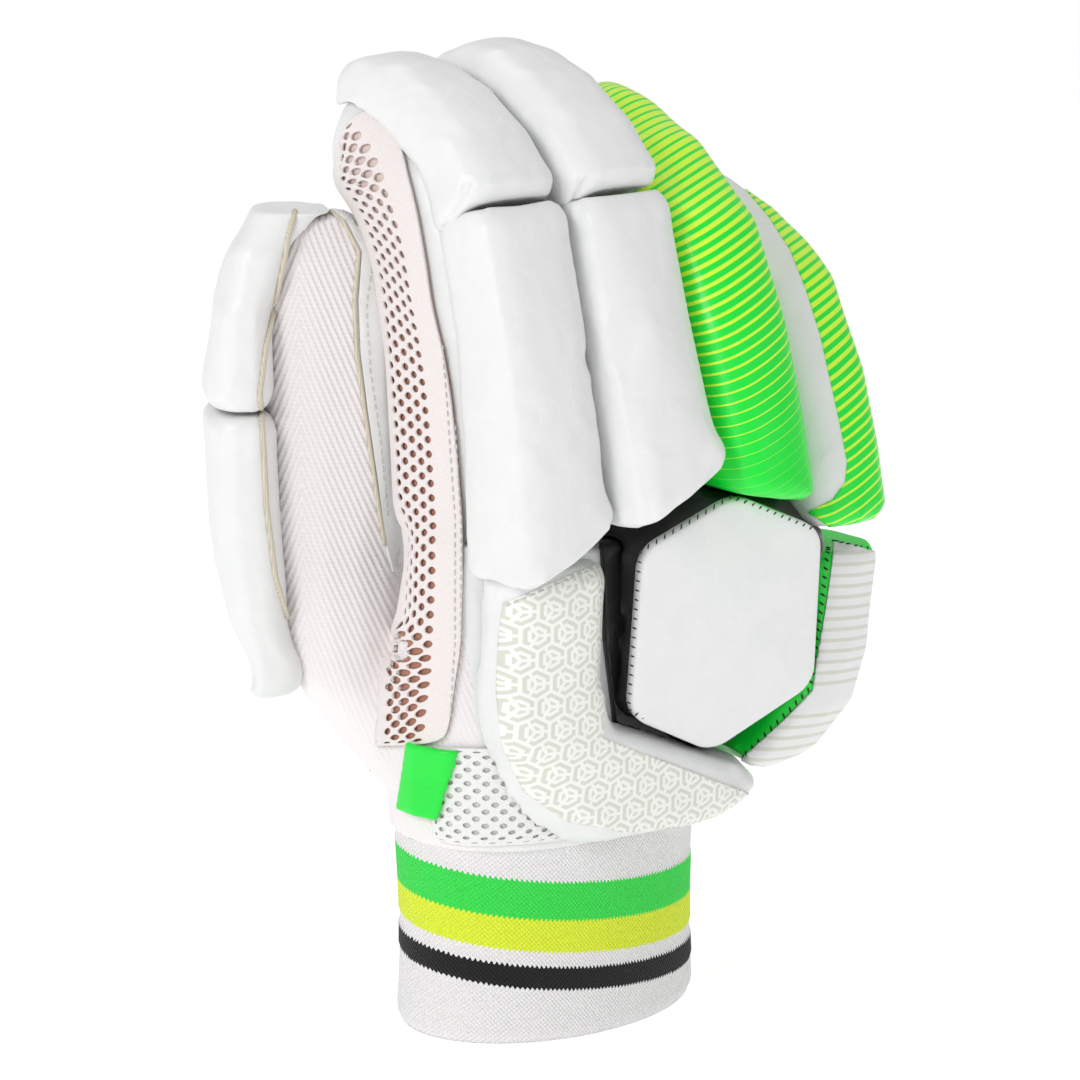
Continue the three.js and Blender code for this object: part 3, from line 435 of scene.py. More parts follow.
def softened(piece, rounds):
    """Rounds off a piece's edges."""
    shape = bmesh.new()
    shape.from_mesh(piece.data)
    smoothed(shape, rounds)
    shape.to_mesh(piece.data)
    shape.free()


def grown(piece, amount):
    """Moves a piece's skin outwards by millimetres."""
    for vertex, normal in [(v, v.normal.copy()) for v in piece.data.vertices]:
        vertex.co += normal * amount * MM


def subdivided(piece, levels=1):
    """Splits a piece's faces on a smooth surface."""
    finer = piece.modifiers.new("finer", "SUBSURF")
    finer.levels = levels
    finer.render_levels = levels
    settle(piece)
    piece.data.shade_smooth()


def thickened(piece, thickness, offset=-1):
    """Gives a sheet a wall of millimetres, inwards or outwards."""
    wall = piece.modifiers.new("wall", "SOLIDIFY")
    wall.thickness = thickness * MM
    wall.offset = offset
    settle(piece)
    piece.data.shade_smooth()


def tree_of(*things):
    """A search tree over several meshes. A thing is a piece or the name of a CAD node."""
    shape = bmesh.new()
    for thing in things:
        shape.from_mesh(frame["nodes"][thing].data if isinstance(thing, str) else thing.data)
    found = BVHTree.FromBMesh(shape)
    shape.free()
    return found


# A cover's skin that is nearer than this to what carries the pad is sewn down.
SEAM_REACH = 2.2 * MM


def capped(vertex, solid, room):
    """Brings a vertex back where it lies more than some room outside a solid. The room follows its normal."""
    near, normal, _, gap = solid.find_nearest(vertex.co)
    room = room(vertex.co, normal)
    if (vertex.co - near).dot(normal) > 0 and gap > room:
        vertex.co = near + (vertex.co - near) * (room / gap)


def swelled(piece, node, carriers):
    """Swells a pad's cover as cloth under its foam's pressure. It stays sewn down beside what carries it."""
    sizes = bpy.context.scene.glove_sizes
    solid = tree_of(node)
    under = tree_of(*carriers)
    mesh = piece.data
    normals = [v.normal.copy() for v in mesh.vertices]
    for vertex, normal in zip(mesh.vertices, normals):
        vertex.co -= normal * sizes.pad_slack
    start = [v.co.copy() for v in mesh.vertices]
    held = [v.index for v in mesh.vertices if under.find_nearest(v.co)[3] < SEAM_REACH]
    group = piece.vertex_groups.new(name="seam")
    group.add(held, 1.0, "REPLACE")
    cloth = piece.modifiers.new("cover", "CLOTH")
    cloth.settings.quality = 5
    cloth.settings.mass = 0.01
    cloth.settings.use_pressure = True
    cloth.settings.uniform_pressure_force = sizes.pad_pressure
    cloth.settings.effector_weights.gravity = 0
    cloth.settings.vertex_group_mass = "seam"
    for number in range(1, 21):
        bpy.context.scene.frame_set(number)
    settle(piece)
    piece.vertex_groups.clear()
    bpy.context.scene.frame_set(1)
    for vertex, at in zip(piece.data.vertices, start):
        step = vertex.co - at
        if step.length > sizes.pad_swell:
            vertex.co = at + step * (sizes.pad_swell / step.length)
    # Near what carries it, beside its neighbours, the cover stays within its solid.
    for vertex in piece.data.vertices:
        capped(vertex, solid, lambda at, _: (1.2 if under.find_nearest(at)[3] > 14 * MM else 0.05) * MM)


def squared(piece, node, amount):
    """Squares a pad's rounded corners: its skin moves away from a smoothed copy of itself."""
    solid = tree_of(node)
    before = [v.co.copy() for v in piece.data.vertices]
    softened(piece, 26)
    for vertex, at in zip(piece.data.vertices, before):
        vertex.co = at + (at - vertex.co) * amount
        capped(vertex, solid, lambda _, normal: (0.3 if abs(normal.x) > 0.85 else 3.5) * MM)


def pulled(piece, pulls, keep=None):
    """Pulls parts of a piece across the photograph's frame: x, y, dx, dy and reach in its pixels."""
    right, up, back = camera_axes()
    eye = sight(0, 0)[0]
    scale = SENSOR / LENS / PIXELS
    for vertex in piece.data.vertices:
        if keep and not keep(vertex.co / MM):
            continue
        x, y = seen_at(vertex.co)
        depth = (eye - vertex.co).dot(back)
        shift = Vector()
        for middle, height, dx, dy, reach in pulls:
            share = math.exp(-((x - middle) ** 2 + (y - height) ** 2) / reach**2)
            shift += (right * dx - up * dy) * share * scale * depth
        vertex.co += shift


def pad_cover(node, carriers, rounds=2, square=0.9):
    """A padded leather cover that stands for one pad's solid."""
    piece = placed(node + "_cover", merged(node))
    evened(piece, bpy.context.scene.glove_sizes.pad_grid)
    softened(piece, rounds)
    swelled(piece, node, carriers)
    softened(piece, 1)
    squared(piece, node, square)
    pulled(piece, PULLS.get(node, ()))
    subdivided(piece)
    return piece


def dressed(piece, material, slot, *nodes, fill=None):
    """Gives a piece its material and its body, and hides the CAD nodes that it stands for. The slot is not
    used.
    """
    piece.data.materials.clear()
    piece.data.materials.append(material)
    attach(piece, BODY)
    if nodes:
        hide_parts(*nodes)


def store(piece, name, value):
    """Stores a number at each vertex, worked out from its place."""
    layer = piece.data.attributes.get(name) or piece.data.attributes.new(name, "FLOAT", "POINT")
    for vertex, item in zip(piece.data.vertices, layer.data):
        item.value = value(vertex.co)


# The photograph's camera, in metres, degrees and millimetres, and the width of its frame in pixels.
LOOK_AT = Vector((-0.002, 0, 0.128))
AZIMUTH = -38
ELEVATION = 13.5
DISTANCE = 1.05
LENS = 132.5
SENSOR = 36
PIXELS = 1080


def camera_axes():
    """The camera's right, up and backward directions."""
    azimuth, elevation = math.radians(AZIMUTH), math.radians(ELEVATION)
    level = math.cos(elevation)
    back = Vector((math.sin(azimuth) * level, -math.cos(azimuth) * level, math.sin(elevation)))
    right = Vector((math.cos(azimuth), math.sin(azimuth), 0))
    return right, back.cross(right), back


def sight(x, y):
    """The eye, and the direction of sight through a point of the photograph's frame."""
    right, up, back = camera_axes()
    scale = SENSOR / LENS / PIXELS
    way = right * (x - PIXELS / 2) * scale - up * (y - PIXELS / 2) * scale - back
    return LOOK_AT + back * DISTANCE, way.normalized()


def seen_at(point):
    """Where a point stands in the photograph's frame."""
    right, up, back = camera_axes()
    offset = point - (LOOK_AT + back * DISTANCE)
    scale = LENS / SENSOR * PIXELS / -offset.dot(back)
    return PIXELS / 2 + offset.dot(right) * scale, PIXELS / 2 - offset.dot(up) * scale


def traced(pixels, found, step=5, lift=0.0):
    """Lays a line drawn on the photograph's frame onto a surface: points and normals of its longest run."""
    runs = [[]]
    for pixel in even_path([(x, y, 0) for x, y in pixels], step):
        eye, way = sight(pixel.x, pixel.y)
        hit, normal, _, _ = found.ray_cast(eye, way)
        if hit is None:
            continue
        if runs[-1] and (hit - runs[-1][-1][0]).length > 9 * MM:
            runs.append([])
        normal = -normal if normal.dot(way) > 0 else normal
        runs[-1].append((hit, normal))
    run = max(runs, key=len)
    return [hit + normal * lift for hit, normal in run], [normal for _, normal in run]


def within(x, y, outline):
    """Whether a point lies inside an outline."""
    inside = False
    for (ax, ay), (bx, by) in zip(outline, outline[1:] + outline[:1]):
        if (ay > y) != (by > y) and x < ax + (bx - ax) * (y - ay) / (by - ay):
            inside = not inside
    return inside


def panel(name, cover, outline, lift=0.55, thickness=0.7):
    """A stitched panel: the cover's outer skin, cut along an outline drawn on the photograph's frame."""
    shape = bmesh.new()
    shape.from_mesh(cover.data)
    eye = sight(0, 0)[0]
    for a, b in zip(outline, outline[1:] + outline[:1]):
        cut = sight(*a)[1].cross(sight(*b)[1]).normalized()
        everything = shape.verts[:] + shape.edges[:] + shape.faces[:]
        bmesh.ops.bisect_plane(shape, geom=everything, dist=0.001 * MM, plane_co=eye, plane_no=cut)
    shape.normal_update()
    found = tree_of(cover)
    gone = []
    for face in shape.faces:
        middle = face.calc_center_median()
        seen = face.normal.dot(eye - middle) > 0 and within(*seen_at(middle), outline)
        if not seen or found.ray_cast(eye, (middle - eye).normalized(), (middle - eye).length - 2 * MM)[0]:
            gone.append(face)
    for vertex in shape.verts:
        vertex.co += vertex.normal * lift * MM
    bmesh.ops.delete(shape, geom=gone, context="FACES")
    piece = placed(name, shape)
    thickened(piece, thickness)
    return piece


def grooved(piece, points, width, depth):
    """Presses a seam into a piece along a line of points."""
    for vertex in piece.data.vertices:
        near = min((vertex.co - p).length for p in points)
        if near < 2.5 * width * MM:
            vertex.co -= vertex.normal * depth * MM * math.exp(-((near / (width * MM)) ** 2))


# Fingers: x, how far back, rise and foot of each, in millimetres.
FINGERS = {
    "index": (-30, 4.5, 104, 134.8),
    "middle": (1, 7.5, 109, 131.4),
    "ring": (32, 13, 95, 128.0),
    "little": (63, 8, 73, 124.6),
}
# Shares of the rise and of the curl, lean in degrees, and the pad's outer face from the middle line.
FINGER_ROWS = [
    (-0.14, 0.0, 0, 44),
    (0.17, 0.02, 0, 50),
    (0.46, 0.08, 4, 43),
    (0.7, 0.22, 16, 39.5),
    (0.84, 0.44, 30, 35),
    (0.94, 0.8, 48, 29),
    (0.985, 1.0, 62, 19),
    (0.97, 1.12, 95, 11),
]
CURL = 43


def finger_rows(finger):
    """Middle points and outer points of a finger, in metres."""
    x, back, rise, foot = FINGERS[finger]
    rows = []
    for up, curl, lean, out in FINGER_ROWS:
        middle = Vector((x, -back + CURL * curl, foot + rise * up)) * MM
        tilt = math.radians(lean)
        rows.append((middle, middle + Vector((0, -math.cos(tilt), math.sin(tilt))) * out * MM))
    return rows


def along_stripes(piece, finger):
    """Stores how far along the finger's back each point lies, on lines that tilt as the stripes do."""
    rows = finger_rows(finger)
    reach = [0.0]
    for (_, a), (_, b) in zip(rows, rows[1:]):
        reach.append(reach[-1] + (b - a).length)

    def measure(point):
        best = None
        for i in range(len(rows) - 1):
            (m0, o0), (m1, o1) = rows[i], rows[i + 1]
            # Share of the way from one station's plane to the next, seen from the side.
            d0 = (point - m0).cross(o0 - m0).x / (o0 - m0).length
            d1 = (point - m1).cross(o1 - m1).x / (o1 - m1).length
            share = d0 / (d0 - d1) if abs(d0 - d1) > 1e-9 else 0.5
            outside = max(0.0, -share, share - 1)
            if best is None or outside < best[0]:
                best = (outside, i, share)
        _, i, share = best
        return reach[i] + share * (reach[i + 1] - reach[i]) - STRIPE_TILT * point.x

    store(piece, "along", measure)


def stitch_row(name, points, normals, material, slot, slant=0, length=None, pitch=None, width=None):
    """A row of stitches along a path on a surface, turned from it by degrees."""
    sizes = bpy.context.scene.glove_sizes
    length = length or sizes.stitch_length
    pitch = pitch or sizes.stitch_pitch
    width = width or sizes.thread_width
    slant = math.radians(slant)
    shape = bmesh.new()
    left = 0.0
    for (a, b), normal in zip(zip(points, points[1:]), normals):
        step = b - a
        if step.length < 1e-9:
            continue
        way = step.normalized()
        up = (normal - way * normal.dot(way)).normalized()
        side = up.cross(way)
        way = (way * math.cos(slant) + side * math.sin(slant)).normalized()
        side = up.cross(way)
        at = left
        while at < step.length:
            matrix = Matrix((way, side, up)).transposed().to_4x4()
            matrix.translation = a + step.normalized() * at
            made = bmesh.ops.create_uvsphere(shape, u_segments=6, v_segments=4, radius=0.5)
            bmesh.ops.scale(shape, vec=(length, width, width * 0.8), verts=made["verts"])
            bmesh.ops.transform(shape, matrix=matrix, verts=made["verts"])
            at += pitch
        left = at - step.length
    dressed(placed(name, shape), material, slot)


def even_path(points, step):
    """The same path with points about one step apart."""
    out = [Vector(points[0])]
    for a, b in zip(points, points[1:]):
        a, b = Vector(a), Vector(b)
        count = max(1, round((b - a).length / step))
        out.extend(a.lerp(b, k / count) for k in range(1, count + 1))
    return out


def rope(name, points, radius, material, slot):
    """A round binding or piping along a path, closed at both ends."""
    shape = bmesh.new()
    ring = bmesh.ops.create_circle(shape, segments=8, radius=radius, cap_ends=True)["verts"]
    face = shape.faces[:][0]
    way = (points[1] - points[0]).normalized()
    bmesh.ops.rotate(shape, verts=ring, matrix=Vector((0, 0, 1)).rotation_difference(way).to_matrix())
    bmesh.ops.translate(shape, verts=ring, vec=points[0])
    previous = points[0]
    for i, point in enumerate(points[1:], 1):
        made = bmesh.ops.extrude_face_region(shape, geom=[face])
        verts = [g for g in made["geom"] if isinstance(g, bmesh.types.BMVert)]
        if i > 1:
            shape.faces.remove(face)
        face = [g for g in made["geom"] if isinstance(g, bmesh.types.BMFace)][0]
        bmesh.ops.translate(shape, verts=verts, vec=point - previous)
        ahead = points[min(i + 1, len(points) - 1)]
        turn = (ahead - previous).normalized()
        if turn.length > 0:
            spin = way.rotation_difference(turn).to_matrix()
            bmesh.ops.rotate(shape, verts=verts, cent=point, matrix=spin)
            way = turn
        previous = point
    bmesh.ops.recalc_face_normals(shape, faces=shape.faces)
    dressed(placed(name, shape), material, slot)


# Knuckle pad: its middle in millimetres, and how it turns and leans in degrees.
HEXAGON_MIDDLE = Vector((26, -45, 110))
HEXAGON_TURN = 8
HEXAGON_LEAN = 8
# Corners of its face, and of the panels and seams below, in the photograph's frame.
HEXAGON_CORNERS = [(637, 549), (732, 492), (816, 526), (808, 680), (706, 748), (625, 714)]
KNUCKLE_BASE = [
    (596, 500), (640, 470), (720, 455), (800, 470), (830, 530), (800, 640), (740, 720), (660, 738),
    (612, 722), (602, 640), (600, 560),
]
GAUNTLET_PANEL = [
    (504, 603), (608, 560), (602, 738), (757, 796), (750, 806), (700, 822),
    (625, 832), (565, 820), (524, 790), (503, 745), (497, 690), (499, 640),
]
ULNAR_PANEL = [
    (834, 543), (886, 554), (886, 620), (876, 680), (850, 740), (815, 772),
    (738, 762), (784, 720), (812, 690), (820, 640), (828, 590),
]
LITTLE_PANEL = [
    (700, 138), (716, 160), (742, 186), (768, 216), (790, 250), (806, 290), (820, 335), (830, 380),
    (840, 425), (847, 462), (845, 482), (832, 500), (808, 512), (838, 532), (862, 531), (878, 512),
    (890, 492), (893, 440), (880, 380), (866, 320), (845, 262), (805, 212), (760, 172), (725, 146),
]


def hexagon_outward():
    """Direction that the knuckle pad's face looks in."""
    lean = Matrix.Rotation(math.radians(HEXAGON_LEAN), 3, "X")
    return Matrix.Rotation(math.radians(-HEXAGON_TURN), 3, "Z") @ lean @ Vector((0, -1, 0))


def hexagon_points(inset=0.0, out=0.0):
    """Corners of the knuckle pad's face, moved in by a share and out of its plane by millimetres."""
    outward = hexagon_outward()
    base = (HEXAGON_MIDDLE + outward * out) * MM
    points = []
    for x, y in HEXAGON_CORNERS:
        eye, way = sight(x, y)
        points.append(eye + way * ((base - eye).dot(outward) / way.dot(outward)))
    middle = sum(points, Vector()) / len(points)
    return [p + (middle - p) * inset for p in points]


# Operators

# Where covers are pulled to the photograph's outline: x, y, dx, dy and reach in its pixels.
PULLS = {
    "index_pad_tip": [
        (332, 88, 9, 9, 16), (352, 72, 3, -5, 20), (400, 58, 0, -7, 45), (446, 213, -5, 18, 20),
    ],
    "middle_pad_tip": [(500, 46, -4, -8, 55), (566, 190, -2, 12, 18)],
    "index_pad_lower": [(610, 525, 5, -10, 24), (496, 588, 0, -6, 24)],
    "middle_pad_lower": [(716, 458, 5, -6, 22)],
    "thumb_pad_tip": [(196, 215, 28, 6, 34), (188, 300, 10, 0, 55), (195, 400, 0, 8, 20)],
    "thumb_pad_lower": [
        (205, 670, 34, 8, 40), (280, 676, 14, -6, 30), (196, 425, 0, -6, 20), (205, 600, 8, 0, 50),
    ],
}
RING_PULLS = [(612, 99, -10, -20, 36), (640, 100, 0, -6, 30)]
LITTLE_PULLS = [(735, 186, -12, -14, 36), (800, 262, 0, -9, 40)]
THUMB_PULLS = [(372, 240, 12, -4, 45), (372, 320, 16, 0, 60), (372, 420, 14, 0, 60), (376, 500, 10, 0, 50)]
THUMB_STRIP_PANEL = [
    (300, 202), (322, 203), (345, 222), (361, 252), (358, 300), (360, 350), (367, 410), (377, 480),
    (385, 545), (392, 572), (400, 530), (398, 400), (398, 280), (380, 232), (350, 205), (325, 190),
    (302, 192),
]

# How far the cross stripes fall towards the little finger, a millimetre across.
STRIPE_TILT = 0.4

# Darts sewn into the fingertip pads, in the photograph's frame.
DARTS = {"index": [(467, 184), (455, 206), (441, 234)], "middle": [(584, 183), (574, 202), (563, 221)]}


class GLOVE_OT_finger_pads(bpy.types.Operator):
    """Makes the white leather pads of the index and middle fingers"""

    bl_idname = "glove.finger_pads"
    bl_label = "White finger pads"

    def execute(self, context):
        leather = white_leather()
        for finger in ("index", "middle"):
            for part in ("lower", "tip"):
                node = f"{finger}_pad_{part}"
                square = 1.1 if part == "lower" else 0.7
                piece = pad_cover(node, [f"{finger}_stall", "hand_shell"], square=square)
                if part == "tip":
                    points, _ = traced(DARTS[finger], tree_of(piece))
                    grooved(piece, points, 1.1, 1.0)
                dressed(piece, leather, "white_leather", node, fill=0.8)
        return {"FINISHED"}


class GLOVE_OT_roll_pads(bpy.types.Operator):
    """Makes the rolled pads of the ring and little fingers with their cross stripes"""

    bl_idname = "glove.roll_pads"
    bl_label = "Ring and little finger pads"

    def execute(self, context):
        ring = pad_cover("ring_pad", ["ring_stall", "hand_shell"], rounds=4, square=0.5)
        pulled(ring, RING_PULLS)
        along_stripes(ring, "ring")
        striped = striped_roll_leather("green leather, lime stripes", 0.03, 0.122, 0.7, 0.0)
        dressed(ring, striped, "green_stripe_leather", "ring_pad", fill=0.8)
        little = pad_cover("little_pad", ["little_stall", "hand_shell"], rounds=4, square=0.5)
        dressed(little, white_leather(), "white_leather", "little_pad", fill=0.8)
        pulled(little, LITTLE_PULLS)
        face = panel("little_pad_face_panel", little, LITTLE_PANEL, lift=0.35, thickness=0.5)
        along_stripes(face, "little")
        striped = striped_roll_leather("green leather, lime stripes, little finger", -0.015, 0.07, 0.62, 0.12)
        dressed(face, striped, "green_stripe_leather", "little_pad_face")
        return {"FINISHED"}


class GLOVE_OT_back_pads(bpy.types.Operator):
    """Makes the knuckle pad, the gauntlet pad and the pad on the little finger side"""

    bl_idname = "glove.back_pads"
    bl_label = "Pads on the back of the hand"

    def execute(self, context):
        colours = context.scene.glove_colours
        plain = white_leather()
        rows = (
            ("knuckle_pad", dyed_leather("black leather, pressed grain", colours.black), "black_leather"),
            ("gauntlet_pad", plain, "white_leather"),
            ("ulnar_pad", dyed_leather("green leather, pressed grain", colours.green), "green_leather"),
        )
        covers = {}
        for node, leather, slot in rows:
            covers[node] = pad_cover(node, ["hand_shell", "wrist_mesh"], square=0.6)
            dressed(covers[node], leather, slot, node, fill=0.9)
        panels = (
            ("gauntlet_pad", GAUNTLET_PANEL, hexagon_printed_leather(), "hexagon_leather"),
            ("ulnar_pad", ULNAR_PANEL, stripe_printed_leather(), "striped_leather"),
        )
        for node, outline, leather, slot in panels:
            piece = panel(node + "_face_panel", covers[node], outline)
            dressed(piece, leather, slot, node + "_face")
        hand = context.scene.objects["hand_knit"]
        base = panel("knuckle_pad_base", hand, KNUCKLE_BASE, lift=2.2, thickness=2.0)
        dressed(base, covers["knuckle_pad"].data.materials[0], "black_leather")
        shape = bmesh.new()
        corners = [shape.verts.new(p) for p in hexagon_points(out=-1.0)]
        bmesh.ops.contextual_create(shape, geom=corners)
        rounding = {"affect": "VERTICES", "segments": 5, "profile": 0.5, "material": -1}
        bmesh.ops.bevel(shape, geom=corners, offset=5 * MM, **rounding)
        face = shape.faces[:][0]
        if face.normal.dot(hexagon_outward()) < 0:
            bmesh.ops.reverse_faces(shape, faces=[face])
        made = bmesh.ops.extrude_face_region(shape, geom=[face])["geom"]
        top = [g for g in made if isinstance(g, bmesh.types.BMFace)][0]
        bmesh.ops.translate(shape, verts=top.verts[:], vec=hexagon_outward() * 2.6 * MM)
        for width, rise in ((0.5, 0.35), (0.8, 0.25), (1.6, 0.3)):
            step = {"thickness": width * MM, "depth": rise * MM}
            bmesh.ops.inset_region(shape, faces=[top], use_even_offset=True, **step)
        bmesh.ops.poke(shape, faces=[top], offset=0.5 * MM)
        bmesh.ops.recalc_face_normals(shape, faces=shape.faces)
        piece = placed("knuckle_pad_face_leather", shape)
        dressed(piece, plain, "white_leather", "knuckle_pad_face")
        return {"FINISHED"}


class GLOVE_OT_thumb(bpy.types.Operator):
    """Makes the thumb's leather pads and the leather strip along it"""

    bl_idname = "glove.thumb"
    bl_label = "Thumb"

    def execute(self, context):
        leather = white_leather()
        for node in ("thumb_pad_lower", "thumb_pad_tip"):
            piece = pad_cover(node, ["thumb_stall", "hand_shell"])
            dressed(piece, leather, "white_leather", node, fill=0.8)
        hand = context.scene.objects["hand_knit"]
        strip = panel("thumb_strip_leather", hand, THUMB_STRIP_PANEL, lift=0.7, thickness=1.0)
        dressed(strip, leather, "white_leather", "thumb_strip")
        return {"FINISHED"}


def collared(piece, node, low, high):
    """Adds a copy of a tube node to a piece, squashed between two heights in millimetres."""
    shape = merged(node)
    bottom = min(v.co.z for v in shape.verts)
    tall = max(v.co.z for v in shape.verts) - bottom
    for vertex in shape.verts:
        vertex.co.z = (low + (vertex.co.z - bottom) / tall * (high - low)) * MM
    shape.from_mesh(piece.data)
    shape.to_mesh(piece.data)
    shape.free()


def tucked(piece, drop, draw):
    """Stretches a stall's lower end down into the hand, drawn in towards its middle."""
    reach = 12 * MM
    top = min(v.co.z for v in piece.data.vertices) + reach
    rim = [v for v in piece.data.vertices if v.co.z < top]
    middle = sum((v.co for v in rim), Vector()) / len(rim)
    for vertex in rim:
        share = (top - vertex.co.z) / reach
        inward = (middle - vertex.co) * draw
        vertex.co += share * Vector((inward.x, inward.y, -drop * MM))


class GLOVE_OT_hand(bpy.types.Operator):
    """Makes the knitted hand with its leather palm, the four finger stalls and the pull tab"""

    bl_idname = "glove.hand"
    bl_label = "Hand, stalls and tab"

    def execute(self, context):
        sizes, colours = context.scene.glove_sizes, context.scene.glove_colours
        leather = white_leather()
        hand = placed("hand_knit", merged("hand_shell", "thumb_stall"))
        collared(hand, "wrist_cuff", 53, 67)
        grown(hand, 1.3)
        evened(hand, sizes.wall_grid)
        softened(hand, 6)
        grown(hand, -0.7)
        softened(hand, 2)
        pulled(hand, THUMB_PULLS, keep=lambda p: p.x < -34 and p.y > 8)
        out = Vector((math.cos(math.radians(142)), math.sin(math.radians(142)), 0))
        middle = Vector((-49.7, 39.4, 0)) * MM
        store(hand, "across", lambda p: (p - middle).dot(out))
        store(hand, "up", lambda p: p.z)
        dressed(hand, ribbed_knit(), "palm_knit", "hand_shell", "thumb_stall")
        hand.data.materials.append(leather)
        for face in hand.data.polygons:
            x, y, z = face.center / MM
            palm = y > 14 and x > -30 + 0.35 * (z - 60) - 0.5 * (y - 14) and z < 133
            face.material_index = int(palm or y < -19 or x > 40)
        for finger in FINGERS:
            stall = placed(f"{finger}_stall_leather", merged(f"{finger}_stall"))
            tucked(stall, 5 if finger == "little" else 14, 0.15)
            evened(stall, sizes.wall_grid)
            softened(stall, 8)
            dressed(stall, leather, "stall_leather", f"{finger}_stall")
        tab = placed("pull_tab_leather", merged("pull_tab"))
        evened(tab, sizes.face_grid)
        softened(tab, 3)
        dressed(tab, dyed_leather("green tab leather", colours.green), "tab_leather", "pull_tab")
        return {"FINISHED"}


def net_shape(columns, rows):
    """A flat net of staggered diamond holes over the unit square."""
    shape = bmesh.new()
    bmesh.ops.create_grid(shape, x_segments=columns, y_segments=rows, size=0.5)
    bmesh.ops.translate(shape, verts=shape.verts, vec=(0.5, 0.5, 0))
    old = shape.edges[:]
    bmesh.ops.poke(shape, faces=shape.faces)
    inner = [e for e in old if e.is_valid and len(e.link_faces) == 2]
    bmesh.ops.dissolve_edges(shape, edges=inner, use_verts=False)
    return shape


def holed(shape, strand, tall, plain):
    """Opens a hole in each whole diamond of a net, leaving strands of one width and the plain faces."""
    whole = [f for f in shape.faces if len(f.verts) == 4 and f not in plain]
    bmesh.ops.inset_individual(shape, faces=whole, thickness=strand / 2, use_even_offset=False)
    for face in whole:
        middle = face.calc_center_median()
        for vertex in face.verts:
            upright = abs(vertex.co.z - middle.z) > 0.7 * MM
            vertex.co = middle + (vertex.co - middle) * (tall if upright else 1 / tall)
    bmesh.ops.delete(shape, geom=whole, context="FACES_ONLY")


def laid(piece, skin, lift, sink=0.0):
    """Sinks a thin piece, then keeps it at least so many millimetres above a skin."""
    for vertex in piece.data.vertices:
        near, normal, _, _ = skin.find_nearest(vertex.co)
        height = (vertex.co - near).dot(normal) - sink * MM
        vertex.co += normal * (max(height, lift * MM) - height - sink * MM)


# Rows of the side mesh in the photograph's frame: palm end x, y and back end x, y.
NET_ROWS = [
    (388, 753, 425, 749),
    (391, 710, 429, 700),
    (396, 644, 436, 644),
    (400, 600, 438, 600),
    (403, 560, 440, 560),
    (404, 512, 440, 512),
    (403, 460, 437, 460),
    (399, 400, 432, 400),
    (394, 340, 425, 345),
    (389, 290, 416, 300),
    (380, 245, 409, 252),
    (369, 214, 400, 216),
    (354, 190, 388, 178),
    (334, 170, 374, 146),
    (326, 138, 349, 118),
]


class GLOVE_OT_meshes(bpy.types.Operator):
    """Makes the open mesh on the index side and round the wrist, each with its lining"""

    bl_idname = "glove.meshes"
    bl_label = "Open meshes"

    def execute(self, context):
        sizes, colours = context.scene.glove_sizes, context.scene.glove_colours
        form = placed("net_form", merged("hand_shell", "index_stall"))
        grown(form, 1.6)
        evened(form, sizes.wall_grid)
        softened(form, 24)
        grown(form, -0.9)
        skin = tree_of(form)
        bpy.data.meshes.remove(form.data)

        lengths = [0.0]
        for before, after in zip(NET_ROWS, NET_ROWS[1:]):
            step = math.dist(before[:2], after[:2]) + math.dist(before[2:], after[2:])
            lengths.append(lengths[-1] + step)

        def on_side(u, v):
            at = v * lengths[-1]
            i = max(k for k in range(len(NET_ROWS) - 1) if lengths[k] <= at + 1e-6)
            share = (at - lengths[i]) / (lengths[i + 1] - lengths[i])
            ax, ay, bx, by = (p + (q - p) * share for p, q in zip(NET_ROWS[i], NET_ROWS[i + 1]))
            u = -0.93 + 2.79 * u
            over = max(u, -0.12)
            eye, way = sight(ax + (bx - ax) * over, ay + (by - ay) * over)
            hit = skin.ray_cast(eye, way)[0]
            if hit is None:
                depth = (Vector((-50, 5, 150)) * MM - eye).length
                hit = skin.find_nearest(eye + way * depth)[0]
            wrap = Vector((2, 12, 0)) * MM * (over - u)
            return skin.find_nearest(hit + wrap)[:2]

        def round_wrist(u, v):
            angle = math.radians(-172 + 166 * u)
            z = (53.5 + 30 * v) * MM
            way = Vector((math.cos(angle), math.sin(angle), 0))
            hit, normal, _, _ = skin.ray_cast(Vector((4 * MM, 0, z)) + way * 0.2, -way)
            return (hit, normal) if hit else skin.find_nearest(Vector((4 * MM, 0, z)) + way * 0.05)[:2]

        side = net_lining("side mesh lining", colours.net_lining)
        wrist = net_lining("spacer mesh lining", linear("#EEEEEB"))
        pale = linear("#F6F5F4")
        # Cells each way, strand and thread in millimetres, how tall the holes are, where they start and end.
        rows = (
            ("side_mesh", on_side, (6, 44), 1.15, 0.8, 1.2, 0.32, 0.70, 2, "side_mesh", colours.net, side),
            ("wrist_mesh", round_wrist, (30, 8), 1.5, 0.45, 1.0, -1, 2, 1, "spacer_mesh", pale, wrist),
        )
        for node, place, count, strand, thread, tall, first, last, levels, slot, colour, lining in rows:
            shape = net_shape(*count)
            plain = {f for f in shape.faces if not first < f.calc_center_median().x < last}
            for vertex in shape.verts:
                hit, normal = place(vertex.co.x, vertex.co.y)
                vertex.co = hit + normal * 0.75 * MM
            smoothed(shape, 5)
            backing = shape.copy()
            holed(shape, strand * MM, tall, plain)
            piece = placed(node + "_net", shape)
            subdivided(piece, levels)
            laid(piece, skin, 0.75)
            sheet = placed(node + "_lining", backing)
            subdivided(sheet, 2)
            laid(sheet, skin, 0.3, sink=0.4)
            thickened(piece, thread, offset=1)
            dressed(piece, net_thread(f"{slot} thread", colour), slot, node)
            dressed(sheet, lining, slot)
        return {"FINISHED"}


